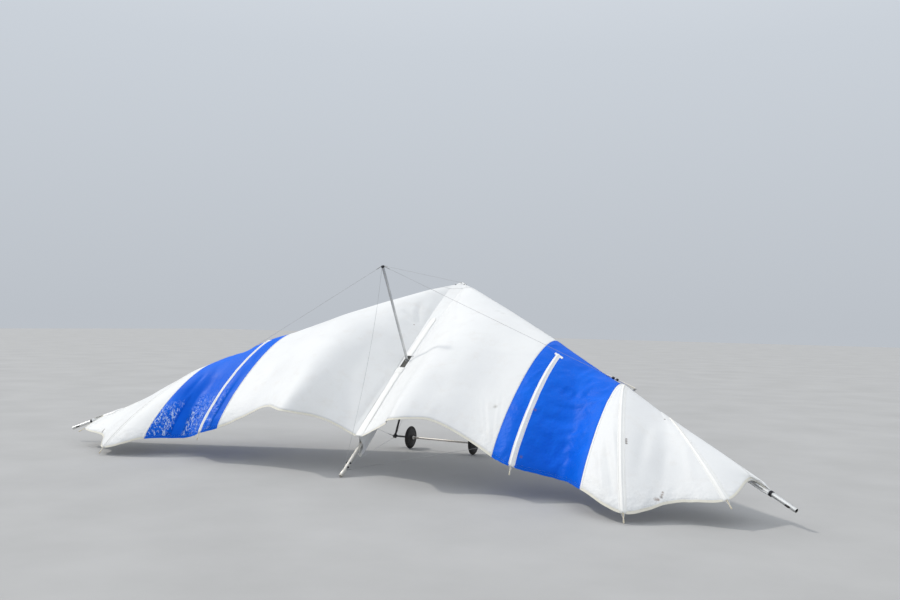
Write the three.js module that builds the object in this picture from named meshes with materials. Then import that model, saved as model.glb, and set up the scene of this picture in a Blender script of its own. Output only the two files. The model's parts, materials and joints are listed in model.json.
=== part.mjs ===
// A kingposted single-surface hang glider, parked nose up on the two wheels of its base bar and
// the tail of its keel. Millimetres, +Z up, +Y forward, +X towards the pilot's right wing tip.
// Every frame piece is placed in the keel frame: x to the right, u back along the keel from the
// nose bolt, w up from the plane of the leading edges. The whole rig is then pitched to the
// attitude at which wheels and tail stand on one floor.
import * as THREE from 'three';

// Frame
const KEEL_LENGTH = 3540;
const KEEL_RADIUS = 21;
const NOSE_HALF_ANGLE = THREE.MathUtils.degToRad(54.5);
const LEADING_EDGE_LENGTH = 5680;
const LEADING_EDGE_START = 60;
const LEADING_EDGE_RADIUS = 25;
const LEADING_EDGE_STEP = 3520;
const REAR_TUBE_RADIUS = 21;
const WALL = 2;
const GAP = 0.3;

// Crossbar
const CROSSBAR_RADIUS = 27;
const CROSSBAR_U = 1600;
const JUNCTION_DISTANCE = 3310;
const BRACKET_WALL = 4;
const BRACKET_GAP = 0.6;

// Kingpost
const KINGPOST_U = 1740;
const KINGPOST_LENGTH = 1337;
const KINGPOST_RADIUS = 16;
const KINGPOST_LEAN = THREE.MathUtils.degToRad(10.7);
const KINGPOST_FOOT = 12;
const FOOT_WIDTH = 50;
const FOOT_LENGTH = 60;
const FOOT_CLEARANCE = 3;
const CAP_LIP = 5;
const CAP_HEIGHT = 16;
const CAP_PLUG = 30;

// Control frame
const APEX_U = 1585;
const BASE_BAR_U = 1691;
const BASE_BAR_W = -1304;
const BASE_BAR_HALF = 723;
const BASE_BAR_RADIUS = 12.7;
const DOWNTUBE_RADIUS = 13.5;
const CORNER_RADIUS = 28;
const CORNER_THICKNESS = 34;

// Wheels
const WHEEL_X = 475;
const WHEEL_RADIUS = 150;
const TREAD_HALF = 1.2;
const RIM_RADIUS = 116;
const RIM_HALF = 14;
const BORE_RADIUS = BASE_BAR_RADIUS + 0.7;
const HUB_HALF = 34;
const HUB_RADIUS = 26;
const DISH_HALF = 27;
const COLLAR_WIDTH = 16;
const COLLAR_WALL = 9;
const WHEEL_SEGMENTS = 40;

// Rigging
const WIRE_RADIUS = 1.6;
const FITTING_RADIUS = 5;
const FITTING_LENGTH = 70;
const TAIL_TANG_U = 3440;
const REAR_WIRE_SAG = 130;
const SLEEVE_RADIUS = 9;
const SLEEVE_LENGTH = 330;
const SLEEVE_END = { x: 2895, u: 1918, w: 30 };
const TANG = { width: 24, thickness: 5, behind: 20, bend: 22, shelf: 100, end: 135 };

// Sail
const CLOTH = 2.6;
const WRAP_RADIUS = 27.6;
const SLOT_FRONT = 1665;
const SLOT_BACK = 1885;
const POCKET_FRONT = 2200;
const POCKET_BACK = 3240;
const POCKET_TOP = 100;
const POCKET_DROP = 60;
const POCKET_FOLD = 9;
const TIP_CLAMP_DISTANCE = 5395;
const TIP_CLAMP_LENGTH = 24;
const TIP_CLAMP_WALL = 6;

// Ribs of the right wing, from the keel out. leX: where the rib leaves the leading edge.
// teX, teU, teW: its end at the trailing edge. rise: height of its arch over the straight chord.
const RIBS = [
  { leX: 95, teX: 38, teU: 3040, teW: 105, rise: 60 },
  { leX: 310, teX: 420, teU: 3025, teW: 315, rise: 185 },
  { leX: 679, teX: 708, teU: 3240, teW: 620, rise: 240 },
  { leX: 1050, teX: 1092, teU: 3105, teW: 523, rise: 275 },
  { leX: 1460, teX: 1500, teU: 3170, teW: 366, rise: 290 },
  { leX: 1875, teX: 1816, teU: 3300, teW: 292, rise: 305 },
  { leX: 2048, teX: 2055, teU: 3384, teW: 268, rise: 275 },
  { leX: 2405, teX: 2500, teU: 3295, teW: 50, rise: 235 },
  { leX: 2790, teX: 2816, teU: 3571, teW: 275, rise: 240 },
  { leX: 2850, teX: 3290, teU: 3812, teW: 308, rise: 285 },
  { leX: 3240, teX: 3660, teU: 3535, teW: 198, rise: 170 },
  { leX: 3352, teX: 4091, teU: 3438, teW: 190, rise: 132 },
  { leX: 4190, teX: 4213, teU: 3065, teW: 54, rise: 52 },
  { leX: 4345, teX: 4362, teU: 3112, teW: 32, rise: 10 },
];
const PANELS = [
  { name: 'sail_center', from: 0, to: 5, steps: 8, color: 0xe6e8ea },
  { name: 'sail_band', from: 5, to: 8, steps: 6, color: 0x1b5fc9 },
  { name: 'sail_tip', from: 8, to: 13, steps: 10, color: 0xe6e8ea },
];
const BATTENS = [
  { name: 'batten_inner', rib: 6 },
  { name: 'batten_middle', rib: 9 },
  { name: 'batten_outer', rib: 11 },
];
// The arch of a rib rises as a power of the distance from the leading edge and falls as another.
const ARCH_FRONT = 0.4;
const ARCH_BACK = 0.8;
const BATTEN_RADIUS = 5;
const BATTEN_TAIL = 75;
const CHORD_STEPS = 10;
const WRAP_STEPS = 7;

const LOOP_U = 1770;

const finish = (color, roughness, metalness) =>
  new THREE.MeshStandardMaterial({ color, roughness, metalness });
const ALUMINIUM = finish(0xbfc2c4, 0.35, 0.9);
const DARK_METAL = finish(0x1d1e21, 0.4, 0.7);
const STEEL = finish(0x9a9da0, 0.35, 0.9);
const RUBBER = finish(0x17171a, 0.85, 0);
const PLASTIC = finish(0x1c1d20, 0.6, 0);
const WEBBING = finish(0x937c6d, 0.9, 0);
const FIBREGLASS = finish(0xb89b6a, 0.6, 0);
const WHITE_CLOTH = finish(0xfbfaf2, 0.8, 0);

// A point of the keel frame in the rig's own axes.
const at = (x, u, w) => new THREE.Vector3(x, -u, w);
const toSide = (side, v) => new THREE.Vector3(side * v.x, v.y, v.z);
const SIDES = [
  { word: 'left', side: -1 },
  { word: 'right', side: 1 },
];

const glider = new THREE.Group();
const rig = new THREE.Group();
glider.add(rig);

function add(name, geometry, material) {
  const mesh = new THREE.Mesh(geometry, material);
  mesh.name = name;
  rig.add(mesh);
  return mesh;
}

// Turns a mesh made along +Y so that it runs from a towards b.
function aim(mesh, a, b) {
  mesh.position.copy(a);
  const along = b.clone().sub(a).normalize();
  mesh.quaternion.setFromUnitVectors(new THREE.Vector3(0, 1, 0), along);
  return mesh;
}

const lathe = (rows, segments) =>
  new THREE.LatheGeometry(rows.map(([r, y]) => new THREE.Vector2(r, y)), segments);

const tube = (outer, inner, length, segments = 20) =>
  lathe([[inner, 0], [outer, 0], [outer, length], [inner, length], [inner, 0]], segments);

const rod = (radius, length, segments = 16) =>
  lathe([[0, 0], [radius, 0], [radius, length], [0, length]], segments);

function addTube(name, a, b, outer, inner, material) {
  return aim(add(name, tube(outer, inner, a.distanceTo(b)), material), a, b);
}

// A closed mesh from vertices and triangles.
function closedMesh(points, triangles) {
  const geometry = new THREE.BufferGeometry();
  const flat = points.flatMap((p) => [p.x, p.y, p.z]);
  geometry.setAttribute('position', new THREE.Float32BufferAttribute(flat, 3));
  geometry.setIndex(triangles);
  geometry.computeVertexNormals();
  return geometry;
}

function mirrored(geometry) {
  const copy = geometry.clone().scale(-1, 1, 1);
  const index = copy.getIndex().array;
  for (let i = 0; i < index.length; i += 3) {
    [index[i], index[i + 1]] = [index[i + 1], index[i]];
  }
  return copy;
}

const forSide = (side, geometry) => (side < 0 ? mirrored(geometry) : geometry);

// A round rod through a list of points, with flat ends.
function sweep(path, radius, sides = 6) {
  const points = [];
  const triangles = [];
  const lateral = new THREE.Vector3();
  path.forEach((p, i) => {
    const before = path[Math.max(i - 1, 0)];
    const after = path[Math.min(i + 1, path.length - 1)];
    const along = after.clone().sub(before).normalize();
    lateral.crossVectors(along, new THREE.Vector3(0, 0, 1)).normalize();
    const rise = lateral.clone().cross(along);
    for (let k = 0; k < sides; k += 1) {
      const angle = (2 * Math.PI * k) / sides;
      const offset = lateral.clone().multiplyScalar(radius * Math.cos(angle));
      points.push(offset.addScaledVector(rise, radius * Math.sin(angle)).add(p));
    }
  });
  for (let i = 0; i + 1 < path.length; i += 1) {
    for (let k = 0; k < sides; k += 1) {
      const a = i * sides + k;
      const b = i * sides + ((k + 1) % sides);
      triangles.push(a, a + sides, b, b, a + sides, b + sides);
    }
  }
  const last = (path.length - 1) * sides;
  for (let k = 1; k + 1 < sides; k += 1) {
    triangles.push(0, k, k + 1, last, last + k + 1, last + k);
  }
  return closedMesh(points, triangles);
}

// A thin sheet from a grid of points, grid[i][j], thickened along its own normals.
function sheet(grid, thickness) {
  const rows = grid.length;
  const columns = grid[0].length;
  const points = [];
  const triangles = [];
  const pick = (i, j) =>
    grid[Math.min(Math.max(i, 0), rows - 1)][Math.min(Math.max(j, 0), columns - 1)];
  for (const face of [1, -1]) {
    for (let i = 0; i < rows; i += 1) {
      for (let j = 0; j < columns; j += 1) {
        const across = pick(i + 1, j).clone().sub(pick(i - 1, j));
        const along = pick(i, j + 1).clone().sub(pick(i, j - 1));
        const normal = along.cross(across).normalize().multiplyScalar((face * thickness) / 2);
        points.push(grid[i][j].clone().add(normal));
      }
    }
  }
  const lower = rows * columns;
  const quad = (a, b, c, d) => triangles.push(a, b, c, a, c, d);
  for (let i = 0; i + 1 < rows; i += 1) {
    for (let j = 0; j + 1 < columns; j += 1) {
      const a = i * columns + j;
      quad(a, a + 1, a + columns + 1, a + columns);
      quad(lower + a, lower + a + columns, lower + a + columns + 1, lower + a + 1);
    }
  }
  const rim = [];
  for (let j = 0; j < columns; j += 1) rim.push(j);
  for (let i = 1; i < rows; i += 1) rim.push(i * columns + columns - 1);
  for (let j = columns - 2; j >= 0; j -= 1) rim.push((rows - 1) * columns + j);
  for (let i = rows - 2; i > 0; i -= 1) rim.push(i * columns);
  rim.forEach((a, k) => {
    const b = rim[(k + 1) % rim.length];
    quad(a, lower + a, lower + b, b);
  });
  return closedMesh(points, triangles);
}

// Keel, leading edges and nose
const leadingEdge = (distance) =>
  at(distance * Math.sin(NOSE_HALF_ANGLE), distance * Math.cos(NOSE_HALF_ANGLE), 0);
const leadingEdgeU = (x) => x / Math.tan(NOSE_HALF_ANGLE);
const leadingEdgeRun = leadingEdge(1);
const leadingEdgeAhead = new THREE.Vector3(-leadingEdgeRun.y, leadingEdgeRun.x, 0);

addTube('keel_tube', at(0, KEEL_LENGTH - 6, 0), at(0, -30, 0), KEEL_RADIUS, KEEL_RADIUS - WALL,
  ALUMINIUM);
const plug = KEEL_RADIUS - WALL - GAP;
const capProfile = [[0, 0], [KEEL_RADIUS - 2, 0], [KEEL_RADIUS, 2], [KEEL_RADIUS, 6 - GAP],
  [plug, 6 - GAP], [plug, 40], [0, 40]];
aim(add('keel_end_cap', lathe(capProfile, 24), PLASTIC), at(0, KEEL_LENGTH, 0), at(0, 0, 0));

for (const { word, side } of SIDES) {
  const front = LEADING_EDGE_RADIUS;
  const inner = REAR_TUBE_RADIUS - WALL;
  const step = LEADING_EDGE_STEP - LEADING_EDGE_START;
  const length = LEADING_EDGE_LENGTH - LEADING_EDGE_START;
  const profile = [[inner, 0], [front, 0], [front, step], [REAR_TUBE_RADIUS, step + 2],
    [REAR_TUBE_RADIUS, length], [inner, length], [inner, 0]];
  const a = toSide(side, leadingEdge(LEADING_EDGE_START));
  const b = toSide(side, leadingEdge(LEADING_EDGE_LENGTH));
  aim(add(`leading_edge_${word}`, lathe(profile, 20), ALUMINIUM), a, b);
}

const NOSE_PLATE = [[-14, 34], [14, 34], [92, -30], [74, -80], [34, -112], [-34, -112],
  [-74, -80], [-92, -30]];
const NOSE_PLATE_THICKNESS = 4;
const nosePlate = () => {
  const outline = new THREE.Shape(NOSE_PLATE.map(([x, y]) => new THREE.Vector2(x, y)));
  return new THREE.ExtrudeGeometry(outline, { depth: NOSE_PLATE_THICKNESS, bevelEnabled: false });
};
add('nose_plate_bottom', nosePlate(), DARK_METAL).position.z =
  -LEADING_EDGE_RADIUS - GAP - NOSE_PLATE_THICKNESS;
add('nose_plate_top', nosePlate(), DARK_METAL).position.z = LEADING_EDGE_RADIUS + GAP;

// Crossbar on top of the keel, its halves running out to the leading edges
const crossbarW = KEEL_RADIUS + GAP + BRACKET_WALL + BRACKET_GAP + CROSSBAR_RADIUS;
const crossbarRoot = at(30, CROSSBAR_U, crossbarW);
const junction = leadingEdge(JUNCTION_DISTANCE);
const crossbarEnd = at(junction.x - 92, -junction.y + 6, CROSSBAR_RADIUS - LEADING_EDGE_RADIUS);
const crossbarRun = crossbarEnd.clone().sub(crossbarRoot).normalize();
for (const { word, side } of SIDES) {
  const a = toSide(side, crossbarRoot.clone().addScaledVector(crossbarRun, -18));
  const b = toSide(side, crossbarEnd);
  addTube(`crossbar_${word}`, a, b, CROSSBAR_RADIUS, CROSSBAR_RADIUS - WALL, ALUMINIUM);
}
const channelHeight = 2 * (CROSSBAR_RADIUS + BRACKET_GAP + BRACKET_WALL);
const channelDepth = 76;
const channelLength = 100;
const channel = new THREE.Shape([
  [-channelDepth / 2, -channelHeight / 2], [channelDepth / 2, -channelHeight / 2],
  [channelDepth / 2, channelHeight / 2], [-channelDepth / 2, channelHeight / 2],
  [-channelDepth / 2, channelHeight / 2 - BRACKET_WALL],
  [channelDepth / 2 - BRACKET_WALL, channelHeight / 2 - BRACKET_WALL],
  [channelDepth / 2 - BRACKET_WALL, -channelHeight / 2 + BRACKET_WALL],
  [-channelDepth / 2, -channelHeight / 2 + BRACKET_WALL],
].map(([y, z]) => new THREE.Vector2(y, z)));
const channelMesh = add('crossbar_center_bracket',
  new THREE.ExtrudeGeometry(channel, { depth: channelLength, bevelEnabled: false }), DARK_METAL);
channelMesh.rotation.set(Math.PI / 2, Math.PI / 2, 0);
channelMesh.position.copy(at(-channelLength / 2, CROSSBAR_U - 2, crossbarW));

// Plates under the joints of crossbar and leading edge
const plateThickness = 5;
const plateTop = -LEADING_EDGE_RADIUS - GAP;
const platePoints = [[-85, 70], [62, -34], [18, -62], [-80, -40], [-230, -14], [-230, 42],
  [-130, 50]];
const platePlan = new THREE.Shape(platePoints.map(([x, y]) => new THREE.Vector2(x, y)));
const plate = new THREE.ExtrudeGeometry(platePlan, { depth: plateThickness, bevelEnabled: false });
plate.translate(junction.x, junction.y, plateTop - plateThickness);
plate.setIndex([...Array(plate.getAttribute('position').count).keys()]);
for (const { word, side } of SIDES) {
  add(`crossbar_joint_plate_${word}`, forSide(side, plate), DARK_METAL);
}

// Kingpost
const kingpostFoot = at(0, KINGPOST_U, KEEL_RADIUS + KINGPOST_FOOT);
const kingpostRun = new THREE.Vector3(0, Math.sin(KINGPOST_LEAN), Math.cos(KINGPOST_LEAN));
const kingpostTop = kingpostFoot.clone().addScaledVector(kingpostRun, KINGPOST_LENGTH);
addTube('kingpost', kingpostFoot, kingpostTop, KINGPOST_RADIUS, KINGPOST_RADIUS - WALL, ALUMINIUM);

const footHeight = KINGPOST_FOOT - FOOT_CLEARANCE - GAP;
const footBlock = new THREE.BoxGeometry(FOOT_WIDTH, FOOT_LENGTH, footHeight);
footBlock.translate(0, -KINGPOST_U, KEEL_RADIUS + GAP + footHeight / 2);
add('kingpost_foot', footBlock, DARK_METAL);

const capLip = KINGPOST_RADIUS + CAP_LIP;
const capPlug = KINGPOST_RADIUS - WALL - GAP;
const kingpostCap = lathe([[0, -CAP_PLUG], [capPlug, -CAP_PLUG], [capPlug, GAP], [capLip, GAP],
  [capLip, CAP_HEIGHT], [capLip - 6, CAP_HEIGHT + 6], [0, CAP_HEIGHT + 6]], 24);
aim(add('kingpost_cap', kingpostCap, PLASTIC), kingpostTop,
  kingpostTop.clone().add(kingpostRun));

// Control frame
const corner = at(BASE_BAR_HALF, BASE_BAR_U, BASE_BAR_W);
const apexBlock = { width: 96, depth: 60, height: 74 };
const apexTop = -KEEL_RADIUS - GAP;
const apexShape = new THREE.Shape([[-apexBlock.width / 2, 0], [-apexBlock.width / 2, -34],
  [-30, -apexBlock.height], [30, -apexBlock.height], [apexBlock.width / 2, -34],
  [apexBlock.width / 2, 0]].map(([x, z]) => new THREE.Vector2(x, z)).reverse());
const apexMesh = add('control_frame_apex',
  new THREE.ExtrudeGeometry(apexShape, { depth: apexBlock.depth, bevelEnabled: false }), DARK_METAL);
apexMesh.rotation.x = Math.PI / 2;
apexMesh.position.copy(at(0, APEX_U - apexBlock.depth / 2, apexTop));

const downtubeHead = at(44, APEX_U, apexTop - 60);
const downtubeRun = downtubeHead.clone().sub(corner).normalize();
for (const { word, side } of SIDES) {
  const a = corner.clone().addScaledVector(downtubeRun, CORNER_RADIUS + GAP + 1);
  const b = downtubeHead.clone().addScaledVector(downtubeRun, -14);
  addTube(`downtube_${word}`, toSide(side, a), toSide(side, b), DOWNTUBE_RADIUS,
    DOWNTUBE_RADIUS - WALL, DARK_METAL);
  const face = at(side * BASE_BAR_HALF, BASE_BAR_U - CORNER_THICKNESS / 2, BASE_BAR_W);
  aim(add(`corner_bracket_${word}`, rod(CORNER_RADIUS, CORNER_THICKNESS, 32), DARK_METAL), face,
    toSide(side, corner));
}
const barEnd = BASE_BAR_HALF - CORNER_RADIUS - GAP;
addTube('base_bar', at(-barEnd, BASE_BAR_U, BASE_BAR_W), at(barEnd, BASE_BAR_U, BASE_BAR_W),
  BASE_BAR_RADIUS, BASE_BAR_RADIUS - WALL, ALUMINIUM);

// Wheels that turn on the base bar, each kept in place by a collar on either side
const mirroredSection = (rows) => [...rows, ...rows.map(([r, y]) => [r, -y]).reverse()];
const closedSection = (rows) => [...rows, rows[0]];
const tyreShoulder = [0.65, 0.85, 0.96].map((k) => {
  const radius = RIM_RADIUS + (WHEEL_RADIUS - RIM_RADIUS) * k;
  return [radius, TREAD_HALF + (RIM_HALF - TREAD_HALF) * (1 - k) ** 0.55];
});
const tyreProfile = closedSection(mirroredSection([[RIM_RADIUS, RIM_HALF], ...tyreShoulder,
  [WHEEL_RADIUS, TREAD_HALF]]).reverse());
const wheelProfile = closedSection(mirroredSection([[BORE_RADIUS, HUB_HALF], [HUB_RADIUS, HUB_HALF],
  [HUB_RADIUS + 2, DISH_HALF], [RIM_RADIUS - GAP, RIM_HALF]]).reverse());
for (const { word, side } of SIDES) {
  const center = at(side * WHEEL_X, BASE_BAR_U, BASE_BAR_W);
  const out = center.clone().add(new THREE.Vector3(1, 0, 0));
  aim(add(`tyre_${word}`, lathe(tyreProfile, WHEEL_SEGMENTS), RUBBER), center, out);
  aim(add(`wheel_disc_${word}`, lathe(wheelProfile, WHEEL_SEGMENTS), PLASTIC), center, out);
  for (const { end, shift } of [{ end: 'inner', shift: -1 }, { end: 'outer', shift: 1 }]) {
    const place = HUB_HALF + 1 + (shift * side > 0 ? 0 : COLLAR_WIDTH);
    const start = center.clone().add(new THREE.Vector3(shift * side * place, 0, 0));
    const collar = tube(BASE_BAR_RADIUS + COLLAR_WALL, BASE_BAR_RADIUS + GAP, COLLAR_WIDTH, 20);
    aim(add(`wheel_collar_${word}_${end}`, collar, DARK_METAL), start,
      start.clone().add(new THREE.Vector3(1, 0, 0)));
  }
}

// Wires. Each end is a point on a face, the face's outward normal and the gap kept to it.
function wireEnd(point, normal, along) {
  const slope = Math.sqrt(Math.max(0, 1 - normal.dot(along) ** 2));
  return point.clone().addScaledVector(normal, GAP + 0.1 + FITTING_RADIUS * slope);
}
function addWire(name, a, normalA, b, normalB) {
  const along = b.clone().sub(a).normalize();
  const start = wireEnd(a, normalA, along);
  const end = wireEnd(b, normalB, along);
  const length = start.distanceTo(end);
  const profile = [[0, 0], [FITTING_RADIUS, 0], [FITTING_RADIUS, FITTING_LENGTH],
    [WIRE_RADIUS, FITTING_LENGTH + 6], [WIRE_RADIUS, length - FITTING_LENGTH - 6],
    [FITTING_RADIUS, length - FITTING_LENGTH], [FITTING_RADIUS, length], [0, length]];
  aim(add(name, lathe(profile, 8), STEEL), start, end);
}
// The wire from the kingpost to a wing ends in a long stiff sleeve that lies on its tang.
function addTopSideWire(name, start, end) {
  const length = start.distanceTo(end);
  const profile = [[0, 0], [FITTING_RADIUS, 0], [FITTING_RADIUS, FITTING_LENGTH],
    [WIRE_RADIUS, FITTING_LENGTH + 6], [WIRE_RADIUS, length - SLEEVE_LENGTH],
    [SLEEVE_RADIUS, length - SLEEVE_LENGTH], [SLEEVE_RADIUS, length], [0, length]];
  aim(add(name, lathe(profile, 10), STEEL), start, end);
}
const X = new THREE.Vector3(1, 0, 0);
const Y = new THREE.Vector3(0, 1, 0);
const Z = new THREE.Vector3(0, 0, 1);
const capCenter = kingpostTop.clone().addScaledVector(kingpostRun, 9);
const capForward = new THREE.Vector3(0, Math.cos(KINGPOST_LEAN), -Math.sin(KINGPOST_LEAN));
const noseTop = LEADING_EDGE_RADIUS + GAP + NOSE_PLATE_THICKNESS;
addWire('wire_top_front', capCenter.clone().addScaledVector(capForward, capLip), capForward,
  at(0, -14, noseTop), Z);
// A bent flat bar under the leading edge that reaches forward and up to the sleeve's end
const sleeveEnd = at(SLEEVE_END.x, SLEEVE_END.u, SLEEVE_END.w);
const tangDistance = sleeveEnd.dot(leadingEdgeRun);
const tangLow = -LEADING_EDGE_RADIUS - GAP;
const tangHigh = SLEEVE_END.w - SLEEVE_RADIUS;
const tangShape = new THREE.Shape([[-TANG.behind, tangLow], [TANG.bend, tangLow],
  [TANG.shelf, tangHigh], [TANG.end, tangHigh], [TANG.end, tangHigh - TANG.thickness],
  [TANG.shelf + TANG.thickness / 2, tangHigh - TANG.thickness],
  [TANG.bend + TANG.thickness / 2, tangLow - TANG.thickness],
  [-TANG.behind, tangLow - TANG.thickness]].map(([x, y]) => new THREE.Vector2(x, y)));
const tang = new THREE.ExtrudeGeometry(tangShape, { depth: TANG.width, bevelEnabled: false });
tang.translate(0, 0, -TANG.width / 2);
tang.applyMatrix4(new THREE.Matrix4().makeBasis(leadingEdgeAhead, Z, leadingEdgeRun));
tang.translate(...leadingEdge(tangDistance).toArray());
tang.setIndex([...Array(tang.getAttribute('position').count).keys()]);
for (const { word, side } of SIDES) {
  const foot = toSide(side, corner);
  const outward = X.clone().multiplyScalar(side);
  const down = Z.clone().negate();
  addTopSideWire(`wire_top_side_${word}`,
    capCenter.clone().addScaledVector(outward, capLip + GAP + FITTING_RADIUS),
    toSide(side, sleeveEnd));
  add(`side_wire_tang_${word}`, forSide(side, tang), DARK_METAL);
  addWire(`wire_front_${word}`, foot.clone().addScaledVector(Y, CORNER_THICKNESS / 2), Y,
    at(side * 30, 20, -noseTop), down);
  addWire(`wire_rear_${word}`, foot.clone().addScaledVector(Y, -CORNER_THICKNESS / 2),
    Y.clone().negate(), at(side * KEEL_RADIUS, TAIL_TANG_U, 0), outward);
  const sideTarget = toSide(side, junction).add(new THREE.Vector3(0, 0, plateTop - plateThickness));
  addWire(`wire_side_${word}`, foot.clone().addScaledVector(outward, CORNER_RADIUS), outward,
    sideTarget, down);
}
const rearWirePath = [];
const rearWireStart = capCenter.clone().addScaledVector(capForward, -capLip - 2);
const rearWireEnd = at(0, TAIL_TANG_U, KEEL_RADIUS + 2);
const REAR_WIRE_STEPS = 14;
for (let i = 0; i <= REAR_WIRE_STEPS; i += 1) {
  const t = i / REAR_WIRE_STEPS;
  const p = rearWireStart.clone().lerp(rearWireEnd, t);
  p.y += REAR_WIRE_SAG * 4 * t * (1 - t);
  rearWirePath.push(p);
}
add('wire_top_rear', sweep(rearWirePath, WIRE_RADIUS), STEEL);

// Sail. A rib between two rows of the table is a smooth blend of its neighbours.
function ribAt(t) {
  const i = Math.min(Math.floor(t), RIBS.length - 2);
  const f = t - i;
  const rib = {};
  for (const key of Object.keys(RIBS[0])) {
    const value = (k) => RIBS[Math.min(Math.max(k, 0), RIBS.length - 1)][key];
    const slopeA = (value(i + 1) - value(i - 1)) / 2;
    const slopeB = (value(i + 2) - value(i)) / 2;
    const f2 = f * f;
    const f3 = f2 * f;
    rib[key] = (2 * f3 - 3 * f2 + 1) * value(i) + (f3 - 2 * f2 + f) * slopeA
      + (3 * f2 - 2 * f3) * value(i + 1) + (f3 - f2) * slopeB;
  }
  return rib;
}
const archShape = (s) => s ** ARCH_FRONT * (1 - s) ** ARCH_BACK;
const archPeak = archShape(ARCH_FRONT / (ARCH_FRONT + ARCH_BACK));
const arch = (s) => archShape(s) / archPeak;
function ribLine(t, first = 0) {
  const rib = ribAt(t);
  const onEdge = at(rib.leX, leadingEdgeU(rib.leX), 0);
  const aft = new THREE.Vector3(-Math.cos(NOSE_HALF_ANGLE), -Math.sin(NOSE_HALF_ANGLE), 0);
  const line = [];
  for (let k = 0; k < WRAP_STEPS; k += 1) {
    const angle = THREE.MathUtils.degToRad(-125 - (145 * k) / WRAP_STEPS);
    line.push(onEdge.clone().addScaledVector(aft, WRAP_RADIUS * Math.cos(angle))
      .add(new THREE.Vector3(0, 0, WRAP_RADIUS * Math.sin(angle))));
  }
  const start = onEdge.clone().add(new THREE.Vector3(0, 0, WRAP_RADIUS));
  const end = at(rib.teX, rib.teU, rib.teW);
  for (let k = 0; k <= CHORD_STEPS; k += 1) {
    const s = (k / CHORD_STEPS) ** 1.5;
    const p = start.clone().lerp(end, s);
    p.z += rib.rise * arch(s);
    line.push(p);
  }
  return line.slice(first);
}
const SEAM = 0.002;
for (const { word, side } of SIDES) {
  for (const { name, from, to, steps, color } of PANELS) {
    const grid = [];
    for (let i = 0; i <= steps; i += 1) {
      const t = from + SEAM + ((to - from - 2 * SEAM) * i) / steps;
      grid.push(ribLine(t));
    }
    add(`${name}_${word}`, forSide(side, sheet(grid, CLOTH)), finish(color, 0.7, 0));
  }
  for (const { name, rib } of BATTENS) {
    const line = ribLine(rib, WRAP_STEPS);
    const inboard = ribLine(rib - 0.5, WRAP_STEPS);
    const outboard = ribLine(rib + 0.5, WRAP_STEPS);
    const path = [];
    for (let k = 2; k < line.length; k += 1) {
      const along = line[Math.min(k + 1, line.length - 1)].clone().sub(line[k - 1]);
      const normal = outboard[k].clone().sub(inboard[k]).cross(along).negate().normalize();
      path.push(line[k].clone().addScaledVector(normal, CLOTH / 2 + BATTEN_RADIUS + 0.8));
    }
    const last = path[path.length - 1];
    const tail = last.clone().sub(path[path.length - 2]).setLength(BATTEN_TAIL);
    path.push(last.clone().add(tail));
    add(`${name}_${word}`, forSide(side, sweep(path, BATTEN_RADIUS)), FIBREGLASS);
  }
}

// The band of cloth along the keel, open where the kingpost passes
function keelBand(fromU, toU, steps) {
  const line = ribLine(0, WRAP_STEPS);
  const grid = [];
  for (let i = 0; i <= steps; i += 1) {
    const u = fromU + ((toU - fromU) * i) / steps;
    let k = 0;
    while (k < line.length - 2 && -line[k + 1].y < u) k += 1;
    const p = line[k].clone().lerp(line[k + 1], (u + line[k].y) / (line[k].y - line[k + 1].y));
    const inset = 0.9;
    grid.push([at(-p.x + inset, u, p.z), at(p.x - inset, u, p.z)]);
  }
  return sheet(grid, CLOTH);
}
add('sail_keel_band_front', keelBand(110, SLOT_FRONT, 8), WHITE_CLOTH);
add('sail_keel_band_rear', keelBand(SLOT_BACK, RIBS[0].teU, 6), WHITE_CLOTH);

// The pocket that holds the keel under the rear of the sail
function pocketOutline(grow) {
  const outline = [];
  const bend = (from, to, radius, drop) => {
    for (let angle = from; angle <= to; angle += 7.5) {
      const a = THREE.MathUtils.degToRad(angle);
      outline.push(new THREE.Vector2(radius * Math.cos(a), radius * Math.sin(a) - drop));
    }
  };
  bend(180, 195, KEEL_RADIUS + 1 + grow, 0);
  bend(195, 345, POCKET_FOLD + grow, POCKET_DROP);
  bend(345, 360, KEEL_RADIUS + 1 + grow, 0);
  outline.push(new THREE.Vector2(6 + grow, POCKET_TOP - 12 + grow));
  outline.push(new THREE.Vector2(-6 - grow, POCKET_TOP - 12 + grow));
  return outline;
}
const pocketShape = new THREE.Shape(pocketOutline(CLOTH));
pocketShape.holes.push(new THREE.Path(pocketOutline(0)));
const pocket = add('sail_keel_pocket', new THREE.ExtrudeGeometry(pocketShape,
  { depth: POCKET_BACK - POCKET_FRONT, bevelEnabled: false }), WHITE_CLOTH);
pocket.rotation.x = Math.PI / 2;
pocket.position.copy(at(0, POCKET_FRONT, 0));

// Clamps that hold the wing tips of the sail to the leading edges
for (const { word, side } of SIDES) {
  const a = toSide(side, leadingEdge(TIP_CLAMP_DISTANCE));
  const b = toSide(side, leadingEdge(TIP_CLAMP_DISTANCE + TIP_CLAMP_LENGTH));
  addTube(`tip_clamp_${word}`, a, b, REAR_TUBE_RADIUS + TIP_CLAMP_WALL, REAR_TUBE_RADIUS + GAP,
    DARK_METAL);
}

// Parked attitude: the pitch at which both tyres and the lower edge of the keel's end meet the floor
const wheelbase = KEEL_LENGTH - BASE_BAR_U;
const wheelDrop = -BASE_BAR_W - (KEEL_RADIUS - 2);
const PARKED_PITCH = Math.atan2(wheelDrop, wheelbase)
  + Math.asin(WHEEL_RADIUS / Math.hypot(wheelDrop, wheelbase));

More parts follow.
